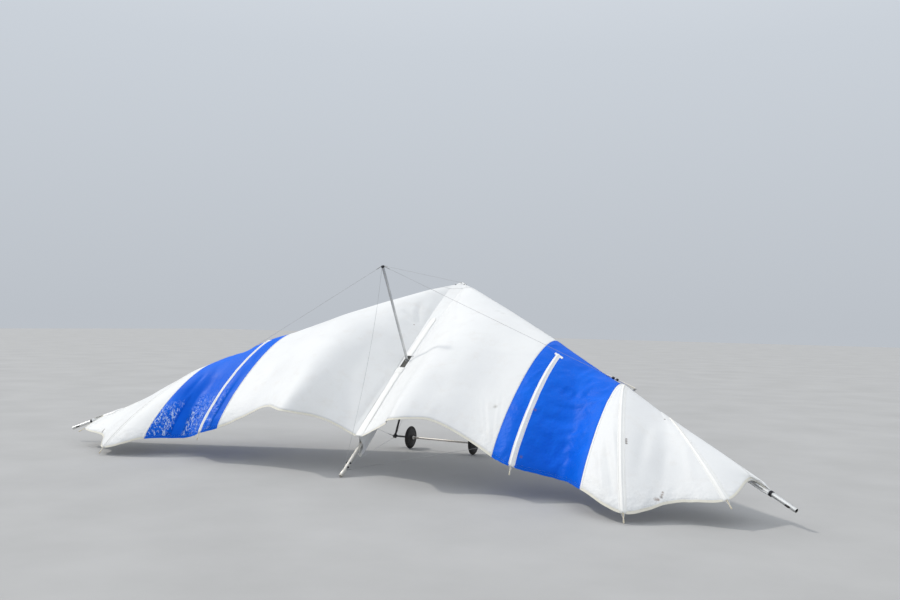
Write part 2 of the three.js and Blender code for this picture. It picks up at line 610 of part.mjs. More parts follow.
// Hang point: a ring bracket under the keel, and the webbing loop that swings on its lower bar
const RING = { halfWidth: 36, height: 58, wall: 8, bar: 14, depth: 8 };
const box = (x, top, bottom) => [[-x, bottom], [x, bottom], [x, top], [-x, top]]
  .map(([px, py]) => new THREE.Vector2(px, py));
const ringShape = new THREE.Shape(box(RING.halfWidth, 0, -RING.height));
ringShape.holes.push(new THREE.Path(box(RING.halfWidth - RING.wall, -8, -RING.height + RING.bar)));
const ring = add('hang_point_bracket', new THREE.ExtrudeGeometry(ringShape,
  { depth: RING.depth, bevelEnabled: false }), STEEL);
ring.rotation.x = Math.PI / 2;
ring.position.copy(at(0, LOOP_U - RING.depth / 2, -KEEL_RADIUS - GAP));

const LOOP = { inner: 8.9, thickness: 4, width: 46, length: 330 };
const stadium = (radius, Curve) => {
  const outline = new Curve();
  outline.absarc(0, 0, radius, 0, Math.PI, false);
  outline.absarc(0, -LOOP.length, radius, Math.PI, 2 * Math.PI, false);
  return outline;
};
const loopShape = stadium(LOOP.inner + LOOP.thickness, THREE.Shape);
loopShape.holes.push(stadium(LOOP.inner, THREE.Path));
const loopGeometry = new THREE.ExtrudeGeometry(loopShape,
  { depth: LOOP.width, bevelEnabled: false, curveSegments: 8 });
loopGeometry.translate(0, 0, -LOOP.width / 2);
loopGeometry.rotateY(Math.PI / 2);
loopGeometry.rotateX(Math.PI / 2);
const loop = add('hang_loop', loopGeometry, WEBBING);
loop.position.copy(at(0, LOOP_U, -KEEL_RADIUS - GAP - RING.height + RING.bar / 2));
loop.rotation.x = -PARKED_PITCH;

rig.rotation.x = PARKED_PITCH;
rig.updateMatrixWorld(true);
const axle = rig.localToWorld(at(0, BASE_BAR_U, BASE_BAR_W));
const extent = new THREE.Box3().setFromObject(rig, true);
rig.position.set(0, -(extent.min.y + extent.max.y) / 2, WHEEL_RADIUS - axle.z);

export default glider;
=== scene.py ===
"""A kingposted single-surface hang glider, parked nose up on its base bar wheels and keel tail.

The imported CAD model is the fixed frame. Its tubes, plates and wires keep their shape and get worn
metal and plastic. The cloth, batten rods, wheels, hang loop and small fittings are modelled here.
Metres, where nothing else is said. Most points are given in the keel frame: x to the right, u back
along the keel from the nose bolt, w up from the plane of the leading edges.
"""
import json
import math

import bpy
import numpy as np
from mathutils import Matrix, Vector


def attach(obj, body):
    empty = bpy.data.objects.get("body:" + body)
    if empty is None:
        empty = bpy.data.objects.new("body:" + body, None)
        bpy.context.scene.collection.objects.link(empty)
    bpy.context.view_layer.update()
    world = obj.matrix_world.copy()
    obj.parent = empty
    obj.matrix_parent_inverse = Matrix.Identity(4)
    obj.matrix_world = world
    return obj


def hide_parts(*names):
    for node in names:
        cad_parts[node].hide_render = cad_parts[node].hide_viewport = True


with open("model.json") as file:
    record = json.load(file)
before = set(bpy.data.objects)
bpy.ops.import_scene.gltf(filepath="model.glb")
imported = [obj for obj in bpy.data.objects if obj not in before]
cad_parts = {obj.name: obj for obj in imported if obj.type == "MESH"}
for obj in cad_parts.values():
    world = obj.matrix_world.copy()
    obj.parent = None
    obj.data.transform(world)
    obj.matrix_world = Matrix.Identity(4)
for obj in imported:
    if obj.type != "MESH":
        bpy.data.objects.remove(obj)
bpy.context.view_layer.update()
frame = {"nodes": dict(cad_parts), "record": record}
SIDES = (("left", -1), ("right", 1))

# Driving dimensions, the same as the CAD model's
NOSE_HALF_ANGLE = math.radians(54.5)
KEEL_RADIUS = 0.021
REAR_TUBE_RADIUS = 0.021
BASE_BAR_U = 1.691
BASE_BAR_W = -1.304
WHEEL_X = 0.475
WRAP_RADIUS = 0.0276
SIDE_WIRE_END = (2.895, 1.918, 0.030)
KINGPOST_CAP = (1.490, 1.358)
SLOT_FRONT = 1.665
SLOT_BACK = 1.885
POCKET_FRONT = 2.200
TIP_CLAMP = 5.395
WIRE_SLEEVE_X = 2.590
JUNCTION = (2.6947, 1.9221)
PLATE_UNDER = -0.0303

# Ribs of a wing, from the keel out, in millimetres: where each leaves the leading edge, its end at the
# trailing edge, and the height of its arch over the straight chord, on the right and on the left wing
RIB_COLUMNS = ("le_x", "te_x", "te_u", "te_w", "rise", "left_rise")
RIBS = np.array([
    (95, 38, 3040, 105, 60, 60),
    (310, 420, 3025, 315, 185, 185),
    (679, 708, 3240, 620, 240, 240),
    (1050, 1092, 3105, 523, 275, 275),
    (1460, 1500, 3170, 366, 290, 290),
    (1875, 1816, 3300, 292, 305, 305),
    (2048, 2055, 3384, 268, 275, 326),
    (2405, 2500, 3295, 50, 235, 311),
    (2790, 2816, 3571, 275, 240, 264),
    (2850, 3290, 3812, 308, 285, 234),
    (3240, 3660, 3535, 198, 170, 145),
    (3352, 4091, 3438, 190, 132, 38),
    (4190, 4213, 3065, 54, 52, -30),
    (4345, 4362, 3112, 32, 10, 10),
]) / 1000
ROOT_BACK = RIBS[0][2]
ARCH_FRONT = 0.4
ARCH_BACK = 0.8

# The rig's axes and nose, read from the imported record
RECORD = frame["record"]
JOINT_PLACE = {joint["name"]: joint["pos_m"] for joint in RECORD["behaviour"]["joints"]}
MOUNT_AXIS = {mount["name"]: mount["axis"] for mount in RECORD["mounts"]}
RIG_UP = -np.array(MOUNT_AXIS["hang_point"])
RIG_RIGHT = np.array((1.0, 0.0, 0.0))
RIG_FORWARD = np.cross(RIG_UP, RIG_RIGHT)
AXLE = np.array(JOINT_PLACE["wheel_right_spin"]) * (0, 1, 1)
NOSE = AXLE + BASE_BAR_U * RIG_FORWARD - BASE_BAR_W * RIG_UP


def place(x, u, w):
    """Points of the keel frame in the row frame."""
    x, u, w = np.broadcast_arrays(*(np.asarray(v, float) for v in (x, u, w)))
    return NOSE + x[..., None] * RIG_RIGHT - u[..., None] * RIG_FORWARD + w[..., None] * RIG_UP


def leading_edge(distance, side):
    """The row frame point of a leading edge's axis at a distance from the nose."""
    return place(side * distance * math.sin(NOSE_HALF_ANGLE), distance * math.cos(NOSE_HALF_ANGLE), 0.0)


def unit(vector):
    """The vector, or each row of an array of them, at length 1."""
    vector = np.asarray(vector, float)
    return vector / np.linalg.norm(vector, axis=-1, keepdims=True)


# Material nodes
class Tree:
    """The nodes of a material or a world, with short ways to add and join them."""

    def __init__(self, owner):
        owner.use_nodes = True
        self.nodes, self.links = owner.node_tree.nodes, owner.node_tree.links
        self.shader = self.nodes.get("Principled BSDF")

    def feed(self, socket, value):
        """Links a node's output to the socket, or sets it to a number, vector or colour."""
        if isinstance(value, bpy.types.NodeSocket):
            self.links.new(value, socket)
        else:
            socket.default_value = (*value, 1.0) if socket.type == "RGBA" else value

    def feed_all(self, node, inputs):
        """Feeds inputs of a node. Their names are written with _ for a space."""
        for key, value in inputs.items():
            self.feed(node.inputs[key.replace("_", " ")], value)

    def add(self, kind, **inputs):
        """A new shader node with its inputs fed."""
        node = self.nodes.new("ShaderNode" + kind)
        self.feed_all(node, inputs)
        return node

    def shade(self, **inputs):
        self.feed_all(self.shader, inputs)

    def colour(self):
        """What the shader's colour is fed with so far."""
        return self.shader.inputs["Base Color"].links[0].from_socket

    def coordinate(self, kind="Object"):
        return self.add("TexCoord").outputs[kind]

    def split(self, vector):
        return self.add("SeparateXYZ", Vector=vector).outputs

    def ramp(self, source, *stops):
        """A colour ramp fed by source. A stop is a position and a colour or a grey level."""
        node = self.add("ValToRGB", Fac=source)
        elements = node.color_ramp.elements
        while len(elements) < len(stops):
            elements.new(0.5)
        for element, (position, colour) in zip(elements, stops):
            element.position = position
            element.color = (*colour, 1.0) if isinstance(colour, tuple) else (colour, colour, colour, 1.0)
        return node.outputs["Color"]

    def mix(self, factor, a, b):
        """Colour a, with b over it where factor is 1."""
        node = self.add("Mix")
        node.data_type = "RGBA"
        for key, value in ((0, factor), (6, a), (7, b)):
            self.feed(node.inputs[key], value)
        return node.outputs[2]

    def calc(self, operation, *values):
        node = self.add("Math")
        node.operation = operation
        for socket, value in zip(node.inputs, values):
            self.feed(socket, value)
        return node.outputs[0]

    def noise(self, scale, detail=4.0, roughness=0.55, stretch=(1, 1, 1), turn=(0, 0, 0), distortion=0.0):
        """Noise in object space, in metres, so that its grain keeps its real size."""
        mapping = self.add("Mapping", Vector=self.coordinate(), Scale=stretch, Rotation=turn)
        texture = self.add("TexNoise", Vector=mapping.outputs["Vector"], Scale=scale, Detail=detail,
                           Roughness=roughness, Distortion=distortion)
        return texture.outputs["Fac"]

    def bump(self, height, distance, strength=1.0, **below):
        """A bumped normal. below may hold the Normal that it lies on."""
        node = self.add("Bump", Height=height, Distance=distance, Strength=strength, **below)
        return node.outputs["Normal"]


def new_material(name):
    material = bpy.data.materials.new(name)
    return material, Tree(material)


WEAVE_PITCH = 0.0009
RIPSTOP_PITCH = 0.006
CRINKLE_GLOSS = 0.52
CRINKLE_DEPTH = 0.055
FINE_CREASE_DEPTH = 0.0016
THREAD_DEPTH = 0.0002
# The colour of the painted glints on crumpled cloth, and the noise that scatters them
GLINT = (0.66, 0.80, 1.0)
PAINTED_GLINT_NOISE = {"scale": 1.0, "detail": 3.0, "roughness": 0.7, "distortion": 1.4,
          "stretch": (30.0, 30.0, 15.0), "turn": (0.5, 0.35, 0.0)}


def weave_height(tree, pitch):
    """Threads of a plain weave along the cloth's own UV directions, from 0 to 1."""
    along = tree.split(tree.coordinate("UV"))
    waves = [tree.calc("SINE", tree.calc("MULTIPLY", along[axis], 2 * math.pi / pitch)) for axis in "XY"]
    return tree.calc("ABSOLUTE", tree.calc("MULTIPLY", *waves))


def glinting(tree, colour, glint, crinkle):
    """The colour with painted glints: pale specks painted on the upper side where the cloth is crumpled, in
    place of the sun's highlights.
    """
    glint_specks = tree.ramp(tree.noise(**PAINTED_GLINT_NOISE), (0.52, 0.0), (0.62, glint))
    facing = tree.split(tree.add("NewGeometry").outputs["True Normal"])
    crumpled = tree.calc("MULTIPLY_ADD", crinkle, 1.4, -0.4)
    top_side = tree.calc("GREATER_THAN", facing["Z"], 0.0)
    shown = tree.calc("MULTIPLY", tree.calc("MULTIPLY", glint_specks, crumpled), top_side)
    return tree.mix(shown, colour, GLINT)


def sailcloth(name, light, dark, dirt, dirt_amount=0.12, roughness=0.52, sheen=0.12, specular=0.3,
              glint=0.0):
    """Woven polyester: fine threads, a firmer grid, soft mottling, faint dust and creases.
    The cloth's own crinkle attribute deepens the creases, and its marks come from MARKS.
    With a glint colour, pale specks are painted where the crinkle is deep: painted glints of the sun."""
    material, tree = new_material(name)
    mottle = tree.noise(1.7, 6.0)
    smudges = tree.ramp(tree.noise(5.5, 8.0, 0.7), (0.52, 0.0), (0.78, 1.0))
    colour = tree.mix(tree.calc("MULTIPLY", smudges, dirt_amount),
                      tree.ramp(mottle, (0.35, dark), (0.68, light)), dirt)
    attribute = tree.add("Attribute")
    attribute.attribute_name = "crinkle"
    crinkle = attribute.outputs["Fac"]
    if glint:
        colour = glinting(tree, colour, glint, crinkle)
    gloss = tree.ramp(mottle, (0.3, roughness - 0.08), (0.7, roughness + 0.08))
    smoother = tree.calc("MULTIPLY_ADD", crinkle, -CRINKLE_GLOSS, 1.0)
    deep = tree.bump(tree.calc("MULTIPLY", tree.noise(13.0, 3.0, 0.6), crinkle), CRINKLE_DEPTH)
    fine = tree.bump(tree.noise(46.0, 5.0, 0.62), FINE_CREASE_DEPTH, 0.8, Normal=deep)
    threads = weave_height(tree, WEAVE_PITCH)
    woven = tree.calc("MULTIPLY_ADD", weave_height(tree, RIPSTOP_PITCH), 0.35, threads)
    tree.shade(Base_Color=colour, Roughness=tree.calc("MULTIPLY", gloss, smoother), Sheen_Weight=sheen,
               Sheen_Roughness=0.4, Specular_IOR_Level=specular,
               Normal=tree.bump(woven, THREAD_DEPTH, 0.5, Normal=fine))
    return material


def worn_metal(name, light, dark, roughness, grain=(1, 1, 1), metallic=1.0):
    """Drawn or anodised metal with a grain, handling marks and dull patches."""
    material, tree = new_material(name)
    scratches = tree.noise(220.0, 3.0, stretch=grain)
    tree.shade(Base_Color=tree.ramp(tree.noise(6.0, 6.0), (0.35, dark), (0.65, light)), Metallic=metallic,
               Roughness=tree.ramp(scratches, (0.3, roughness - 0.09), (0.75, roughness + 0.12)),
               Normal=tree.bump(scratches, 0.0004, 0.25))
    return material


def moulded(name, light, dark, roughness, grit=900.0, dust_amount=0.0, depth=0.0003):
    """Moulded plastic or rubber: fine grit, uneven gloss and, where given, sand dust on it."""
    material, tree = new_material(name)
    patches = tree.noise(9.0, 6.0)
    colour = tree.ramp(patches, (0.35, dark), (0.7, light))
    if dust_amount:
        drift = tree.noise(24.0, 8.0, 0.7)
        colour = tree.mix(tree.ramp(drift, (0.45, 0.0), (0.7, dust_amount)), colour, SAND)
    tree.shade(Base_Color=colour, Normal=tree.bump(tree.noise(grit, 2.0), depth, 0.4),
               Roughness=tree.ramp(patches, (0.3, roughness - 0.08), (0.7, roughness + 0.1)))
    return material


def outer_colour(key, start, colour):
    """Another, non-metal colour on the part of a piece that lies further out than start."""
    tree = Tree(MATERIALS[key])
    from_middle = tree.calc("ABSOLUTE", tree.split(tree.coordinate())["X"])
    outside = tree.calc("GREATER_THAN", from_middle, start)
    tree.shade(Base_Color=tree.mix(outside, tree.colour(), colour),
               Metallic=tree.calc("SUBTRACT", 1.0, outside))


WHITE = (0.875, 0.875, 0.86)
WHITE_SHADE = (0.83, 0.83, 0.82)
BRIGHT = (0.955, 0.945, 0.91)
BRIGHT_SHADE = (0.93, 0.92, 0.885)
SAND = (0.47, 0.33, 0.19)
BLUE = (0.002, 0.150, 0.820)
BLUE_SHADE = (0.001, 0.115, 0.700)
BLUE_DIRT = (0.02, 0.14, 0.55)
CREAM = (0.90, 0.87, 0.76)
CREAM_SHADE = (0.84, 0.80, 0.68)
BROWN = (0.20, 0.10, 0.05)
GREY_STAIN = (0.36, 0.34, 0.30)
# Dark stains, and the painted shadow in the slit by the middle batten pocket
DARK_STAIN_AND_SHADOW = (0.08, 0.045, 0.025)
ALONG_X = (1, 0.06, 0.06)

MATERIALS = {
    "white": sailcloth("white_sailcloth", WHITE, WHITE_SHADE, SAND),
    # The blue cloth has painted glints: pale specks painted where it is crumpled
    "blue": sailcloth("blue_sailcloth", BLUE, BLUE_SHADE, BLUE_DIRT, 0.15, 0.50, 0.0, 0.10, 0.85),
    "bright": sailcloth("reinforced_white_cloth", BRIGHT, BRIGHT_SHADE, SAND, 0.02),
    "hem": sailcloth("hem_tape", CREAM, CREAM_SHADE, SAND, 0.10),
    # The slot cloth is partly grey cloth and partly painted shade of the opening under the sail
    "slot": sailcloth("slot_cloth_with_painted_shade", (0.120, 0.118, 0.104), (0.080, 0.078, 0.070), SAND, 0.06, 0.8, 0.0),
    "thread": moulded("thread", (0.90, 0.90, 0.87), (0.84, 0.84, 0.81), 0.85),
    "grey_thread": sailcloth("grey_thread", (0.33, 0.31, 0.32), (0.24, 0.23, 0.24), SAND, 0.3, 0.7),
    "tube": worn_metal("aluminium_tube", (0.80, 0.80, 0.78), (0.66, 0.66, 0.64), 0.33, ALONG_X),
    "keel": worn_metal("keel_tube_finish", (0.82, 0.79, 0.72), (0.68, 0.65, 0.58), 0.40, (1, 0.05, 0.05)),
    "kingpost": worn_metal("kingpost_finish", (0.60, 0.61, 0.61), (0.46, 0.47, 0.48), 0.38,
                           (0.06, 0.06, 0.3)),
    "base_bar": worn_metal("base_bar_finish", (0.78, 0.74, 0.68), (0.62, 0.58, 0.52), 0.46,
                           (0.05, 1, 1), 0.8),
    "steel": worn_metal("stainless_wire", (0.55, 0.55, 0.54), (0.38, 0.38, 0.38), 0.36),
    "sleeve": worn_metal("wire_sleeve", (0.50, 0.50, 0.49), (0.36, 0.36, 0.36), 0.42),
    "bolt": worn_metal("zinc_bolts", (0.62, 0.61, 0.58), (0.45, 0.44, 0.42), 0.35),
    "dark": worn_metal("dark_anodised", (0.045, 0.045, 0.05), (0.022, 0.022, 0.026), 0.42, metallic=0.75),
    "tyre": moulded("tyre_rubber", (0.016, 0.015, 0.016), (0.009, 0.009, 0.010), 0.78, dust_amount=0.08),
    "plastic": moulded("black_plastic", (0.014, 0.013, 0.015), (0.008, 0.008, 0.009), 0.55,
                       dust_amount=0.04),
    "collar": moulded("light_collar", (0.82, 0.81, 0.78), (0.70, 0.69, 0.66), 0.4),
    "batten": moulded("batten_rod", (0.84, 0.78, 0.62), (0.70, 0.62, 0.46), 0.5),
    "strap": moulded("hang_strap_webbing", (0.33, 0.25, 0.19), (0.22, 0.16, 0.12), 0.85, 500.0, 0.3,
                     0.0012),
}
# The base bar is near black and not metal outboard of the wheels
outer_colour("base_bar", WHEEL_X, (0.03, 0.03, 0.033))
outer_colour("sleeve", WIRE_SLEEVE_X, (0.86, 0.80, 0.68))


def add_object(name, data):
    thing = bpy.data.objects.new(name, data)
    bpy.context.scene.collection.objects.link(thing)
    return thing


# Mesh helpers
def new_object(name, points, faces, material, smooth=True, uv=None):
    mesh = bpy.data.meshes.new(name)
    mesh.from_pydata([tuple(p) for p in points], [], [tuple(f) for f in faces])
    mesh.materials.append(MATERIALS[material])
    mesh.polygons.foreach_set("use_smooth", [smooth] * len(mesh.polygons))
    if uv is not None:
        layer = mesh.uv_layers.new(name="UVMap")
        corners = np.empty(len(mesh.loops), int)
        mesh.loops.foreach_get("vertex_index", corners)
        layer.data.foreach_set("uv", np.asarray(uv, float)[corners].ravel())
    mesh.validate()
    mesh.update()
    return add_object(name, mesh)


def sharpen(thing, degrees=35):
    """Smooth shading that keeps the edges sharper than the angle."""
    thing.data.polygons.foreach_set("use_smooth", [True] * len(thing.data.polygons))
    thing.data.set_sharp_from_angle(angle=math.radians(degrees))


def ride(thing, body, replaced):
    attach(thing, body)
    if replaced:
        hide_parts(*replaced)
    return thing


def piece(name, parts, material, shading="sharp", body="airframe", replaced=()):
    """A piece made of one or more meshes, each a pair of points and faces. Shading is sharp,
    which keeps hard edges, smooth or flat."""
    faces, start = [], 0
    for points, part_faces in parts:
        faces += [tuple(int(i) + start for i in face) for face in part_faces]
        start += len(points)
    points = np.concatenate([np.asarray(points, float) for points, _ in parts])
    thing = new_object(name, points, faces, material, shading != "flat")
    if shading == "sharp":
        sharpen(thing)
    return ride(thing, body, replaced)


def grid_faces(rows, columns, flip=False):
    index = np.arange(rows * columns).reshape(rows, columns)
    quads = np.stack([index[:-1, :-1], index[:-1, 1:], index[1:, 1:], index[1:, :-1]], -1)
    quads = quads.reshape(-1, 4)
    return quads[:, ::-1] if flip else quads


def grid_steps(points):
    """The lengths of a grid's edges from row to row and from column to column."""
    return [np.linalg.norm(np.diff(points, axis=axis), axis=2) for axis in (0, 1)]


def grid_uv(points):
    """Cloth directions in metres, measured along the rows and columns of a grid of points."""
    across, along = grid_steps(points)
    u = np.concatenate([[0.0], np.cumsum(across.mean(1))])[:, None]
    v = np.hstack([np.zeros((len(points), 1)), np.cumsum(along, 1)])
    return np.stack(np.broadcast_arrays(u, v), -1).reshape(-1, 2)


# Thicknesses of cloth: the sail, a patch or second layer, a batten pocket, a tape
SAIL_CLOTH = 0.0012
PATCH_CLOTH = 0.0010
POCKET_CLOTH = 0.0009
TAPE_CLOTH = 0.0008


def cloth_grid(name, points, material, thickness=SAIL_CLOTH, flip=False, offset=-1.0,
               slot="white_sailcloth", replaced=()):
    """A cloth on a grid of points. With a thickness of 0 it stays a single layer."""
    cloth = new_object(name, points.reshape(-1, 3), grid_faces(*points.shape[:2], flip), material,
                       uv=grid_uv(points))
    if thickness:
        modifier = cloth.modifiers.new("thickness", "SOLIDIFY")
        modifier.thickness = thickness
        modifier.offset = offset
    return ride(cloth, "airframe", replaced)


def cloth_sheet(name, points, material, thickness, flip, rests_on, held="stretched", **more):
    """A cloth on a grid of points, made by cloth_grid."""
    cloth_grid(name, points, material, thickness, flip, **more)


def set_crinkle(cloth, amount):
    """How deeply each point of a cloth is crinkled, from 0 to 1."""
    layer = cloth.data.attributes.new("crinkle", "FLOAT", "POINT")
    layer.data.foreach_set("value", np.asarray(amount, float).ravel())


def tube_mesh(path, radius, sides=12, closed_ends=True):
    """Points and faces of a round tube along path. radius is one number or one for each point."""
    path = np.asarray(path, float)
    tangent = unit(np.gradient(path, axis=0))
    guide = np.array((0, 0, 1.0)) if abs(tangent[0][2]) < 0.9 else np.array((1.0, 0, 0))
    angles = np.arange(sides) * 2 * math.pi / sides
    points = []
    for centre, along, r in zip(path, tangent, np.broadcast_to(radius, len(path))):
        across = unit(np.cross(along, guide))
        guide = np.cross(across, along)
        points.append(centre + r * (np.cos(angles)[:, None] * across + np.sin(angles)[:, None] * guide))
    faces = ring_faces(len(path), sides)[:-sides]
    if closed_ends:
        faces.append(tuple(range(sides))[::-1])
        faces.append(tuple(range((len(path) - 1) * sides, len(path) * sides)))
    return np.concatenate(points), faces


def ring_faces(rings, count, inward=False):
    """Quads between closed rings of count points each, the last ring joined to the first."""
    faces = []
    for i in range(rings):
        for k in range(count):
            a, b = i * count + k, i * count + (k + 1) % count
            c, d = (i + 1) % rings * count + k, (i + 1) % rings * count + (k + 1) % count
            faces.append((a, c, d, b) if inward else (a, b, d, c))
    return faces


def lathe_mesh(rows, origin, axis, segments=48):
    """A closed ring of (radius, height) rows turned about an axis."""
    axis = unit(axis)
    side = unit(np.cross(axis, (0, 0, 1.0) if abs(axis[2]) < 0.9 else (1.0, 0, 0)))
    other = np.cross(axis, side)
    points = []
    for i in range(segments):
        angle = 2 * math.pi * i / segments
        out = math.cos(angle) * side + math.sin(angle) * other
        points += [np.asarray(origin) + r * out + h * axis for r, h in rows]
    return points, ring_faces(segments, len(rows), inward=True)


# The sail's surface
def rib_values(t):
    """The columns of RIBS blended smoothly at the rib numbers t."""
    t = np.atleast_1d(np.asarray(t, float))
    last = len(RIBS) - 1
    i = np.clip(np.floor(t).astype(int), 0, last - 1)
    f = (t - i)[:, None]
    before, here, there, after = (RIBS[np.clip(i + k, 0, last)] for k in (-1, 0, 1, 2))
    values = ((2 * f**3 - 3 * f**2 + 1) * here + (f**3 - 2 * f**2 + f) * (there - before) / 2
              + (3 * f**2 - 2 * f**3) * there + (f**3 - f**2) * (after - here) / 2)
    return {key: column[:, None] for key, column in zip(RIB_COLUMNS, values.T)}


def arch(s):
    """The height of a rib's arch at s, 1 at its highest point."""
    peak = ARCH_FRONT / (ARCH_FRONT + ARCH_BACK)
    shape = lambda v: np.clip(v, 0, 1) ** ARCH_FRONT * np.clip(1 - v, 0, 1) ** ARCH_BACK
    return shape(s) / shape(peak)


WRAP_START = math.radians(-125)
WRAP_ROWS = 6
LEAST_AFT = 0.35


def sail_surface(t, s, side=1):
    """Keel frame points of the smooth sail, with x to the outside. t runs along the wing by rib
    number, s from 0 at the front of the leading edge to 1 at the trailing edge. s below 0 runs down
    round the tube."""
    rib = rib_values(t)
    s = np.atleast_2d(s)
    le_u = rib["le_x"] / math.tan(NOSE_HALF_ANGLE)
    run_x, run_u = rib["te_x"] - rib["le_x"], rib["te_u"] - le_u
    length = np.hypot(run_x, run_u)
    dir_x, dir_u = run_x / length, run_u / length
    aft = -dir_x * math.cos(NOSE_HALF_ANGLE) + dir_u * math.sin(NOSE_HALF_ANGLE)
    front = WRAP_RADIUS / np.maximum(aft, LEAST_AFT)
    up = np.clip(s, 0, 1)
    r = -front + (length + front) * up
    rim = 1 - np.clip((r + front) / front, 0, 1)
    rise = rib["rise" if side > 0 else "left_rise"]
    w = WRAP_RADIUS * np.sqrt(1 - rim**2) * (1 - up) + rib["te_w"] * up + rise * arch(up)
    under = s < 0
    angle = math.pi + np.clip(-s, 0, 1) * (math.pi + WRAP_START)
    r = np.where(under, front * np.cos(angle), r)
    w = np.where(under, WRAP_RADIUS * np.sin(angle), w)
    return rib["le_x"] + dir_x * r, le_u + dir_u * r, w


def chord_length(t, front=0.0):
    """Metres for one unit of s at the ribs t, measured from front to the trailing edge."""
    x, u, _ = sail_surface(t, np.array([front, 1.0]))
    return np.hypot(x[:, 1] - x[:, 0], u[:, 1] - u[:, 0]) / (1.0 - front)


def chord_rows(count, power):
    """Values of s from under the tube to 1, closer together near the leading edge."""
    return np.concatenate([np.linspace(-1, 0, WRAP_ROWS)[:-1], (np.arange(count + 1) / count) ** power])


def lattice_noise(x, y, seed):
    """Smooth noise from -1 to 1 on a unit lattice, for whole arrays."""
    table = np.random.default_rng(seed).uniform(-1, 1, (64, 64))
    xi, yi = np.floor(x).astype(int), np.floor(y).astype(int)
    fx, fy = x - xi, y - yi
    fx, fy = fx * fx * (3 - 2 * fx), fy * fy * (3 - 2 * fy)
    at = lambda i, j: table[i % 64, j % 64]
    low = at(xi, yi) * (1 - fx) + at(xi + 1, yi) * fx
    high = at(xi, yi + 1) * (1 - fx) + at(xi + 1, yi + 1) * fx
    return low * (1 - fy) + high * fy


def ease(value, start, end):
    """From 0 at start to 1 at end, smoothly."""
    v = np.clip((value - start) / (end - start), 0, 1)
    return v * v * (3 - 2 * v)


def hump(value, start, full, fade, end):
    """1 from full to fade, and down to 0 at start and end."""
    return ease(value, start, full) * (1 - ease(value, fade, end))


def hill(away, half):
    """A rounded ridge of height 1 that has fallen to about a third at the distance half."""
    return np.exp(-((away / half) ** 2))


# Creases in millimetres: the two ends x, u in the keel frame, half width and height, a valley's below 0
CREASES = np.array([
    (-20, 880, 100, 440, 14, -2.2), (12, 900, 135, 470, 20, 1.8),
    (-379, 963, -185, 1090, 30, -11), (-300, 860, -180, 1060, 26, 9),
    (-264, 700, -150, 1070, 30, -14), (-175, 560, -110, 960, 40, 9),
    (-450, 1100, -200, 1130, 40, 6), (-80, 2050, -100, 2950, 30, -12),
    (110, 2300, 140, 2980, 40, -7), (1500, 2740, 1690, 3160, 10, -3.4),
    (1535, 2659, 1735, 3170, 10, -4.2), (1590, 2700, 1775, 3180, 11, 3.6),
    (1650, 2600, 1800, 3200, 9, -3.2), (1700, 2560, 1840, 3100, 12, -3),
    (842, 1775, 1060, 1690, 20, -3), (700, 2300, 980, 2260, 22, -3),
    (450, 2080, 700, 2040, 20, -3), (2180, 2290, 2800, 2370, 60, -13),
    (2200, 2460, 2760, 2500, 50, 9), (2160, 2740, 2700, 2650, 55, -13),
    (2140, 2900, 2780, 2860, 60, 11), (2200, 3120, 2760, 3060, 50, -11),
    (2420, 2200, 2560, 2700, 40, 6), (2240, 2560, 2700, 2470, 26, -8),
    (2330, 2240, 2600, 2430, 24, 6), (2200, 2980, 2560, 2780, 26, -8),
    (2420, 3140, 2720, 2960, 24, 7), (2330, 2820, 2700, 2700, 24, 6),
    (2955, 3063, 3181, 3690, 30, -14), (2920, 3200, 3070, 3660, 26, 11),
    (2980, 2900, 3190, 3500, 24, 8), (3346, 2700, 3400, 3260, 60, 9),
    (3270, 2800, 3330, 3420, 50, -8), (3480, 2950, 3540, 3480, 40, -6),
    (3620, 2800, 3800, 3380, 40, 6), (-2635, 2420, -2670, 2900, 22, -6),
    (-2560, 2350, -2590, 2950, 40, 4), (-3050, 2600, -3300, 3500, 35, -8),
    (-3450, 2700, -3700, 3400, 35, 7), (-1250, 1800, -1500, 2700, 120, -6),
    (-650, 1500, -900, 2600, 150, 8), (580, 950, 600, 2500, 280, -34),
    (-580, 950, -600, 2500, 280, -34), (1080, 1100, 1100, 2500, 340, 26),
    (-1080, 1100, -1100, 2500, 340, 26),
]) / 1000


def creases(x, u):
    """Height of the creases at the keel frame points x, u. x is signed: left is negative."""
    total = np.zeros_like(x)
    for x0, u0, x1, u1, width, height in CREASES:
        run = np.array((x1 - x0, u1 - u0))
        length = np.hypot(*run)
        along = ((x - x0) * run[0] + (u - u0) * run[1]) / length**2
        away = ((u - u0) * run[0] - (x - x0) * run[1]) / length
        total += height * hump(along, -0.15, 0.25, 0.75, 1.15) * hill(away, width)
    return total


def slack(t, s, x, u, side):
    """How far the real cloth lies above the smooth surface: ripples, creases and edge flutter. The
    blue panel has sharp small folds, deeper on the right, which its batten and seams hold flat."""
    seed = 5 if side > 0 else 11
    broad = 0.0050 * lattice_noise(x * 1.7 + 3, u * 1.1 + 7, seed)
    ribs = 0.0022 * (1 - 2 * np.abs(lattice_noise(x * 3.1 - u * 1.2, u * 1.3 + x, seed + 1)))
    blue = hump(t, 4.8, 5.3, 7.7, 8.2)
    depth = 0.0018
    if side > 0:
        depth = depth + 0.0060 * ease(np.abs(t - 6.0), 0.06, 0.35) * hump(t, 5.0, 5.25, 7.7, 8.0)
    sharp = 1 - 2 * np.abs(lattice_noise(x * 9 + u * 4, u * 6 - x * 3, seed + 4))
    fine = (0.0009 + 0.0016 * blue) * lattice_noise(x * 13, u * 7, seed + 2) + blue * depth * sharp
    pucker = 0.0045 * ease(s, 0.82, 1.0) * lattice_noise(x * 14, u * 3, seed + 3)
    free, keel_hold = ease(s, 0.01, 0.12), ease(t, 0.0, 0.6)
    return free * keel_hold * (broad + ribs + fine + pucker) + free * creases(side * x, u)


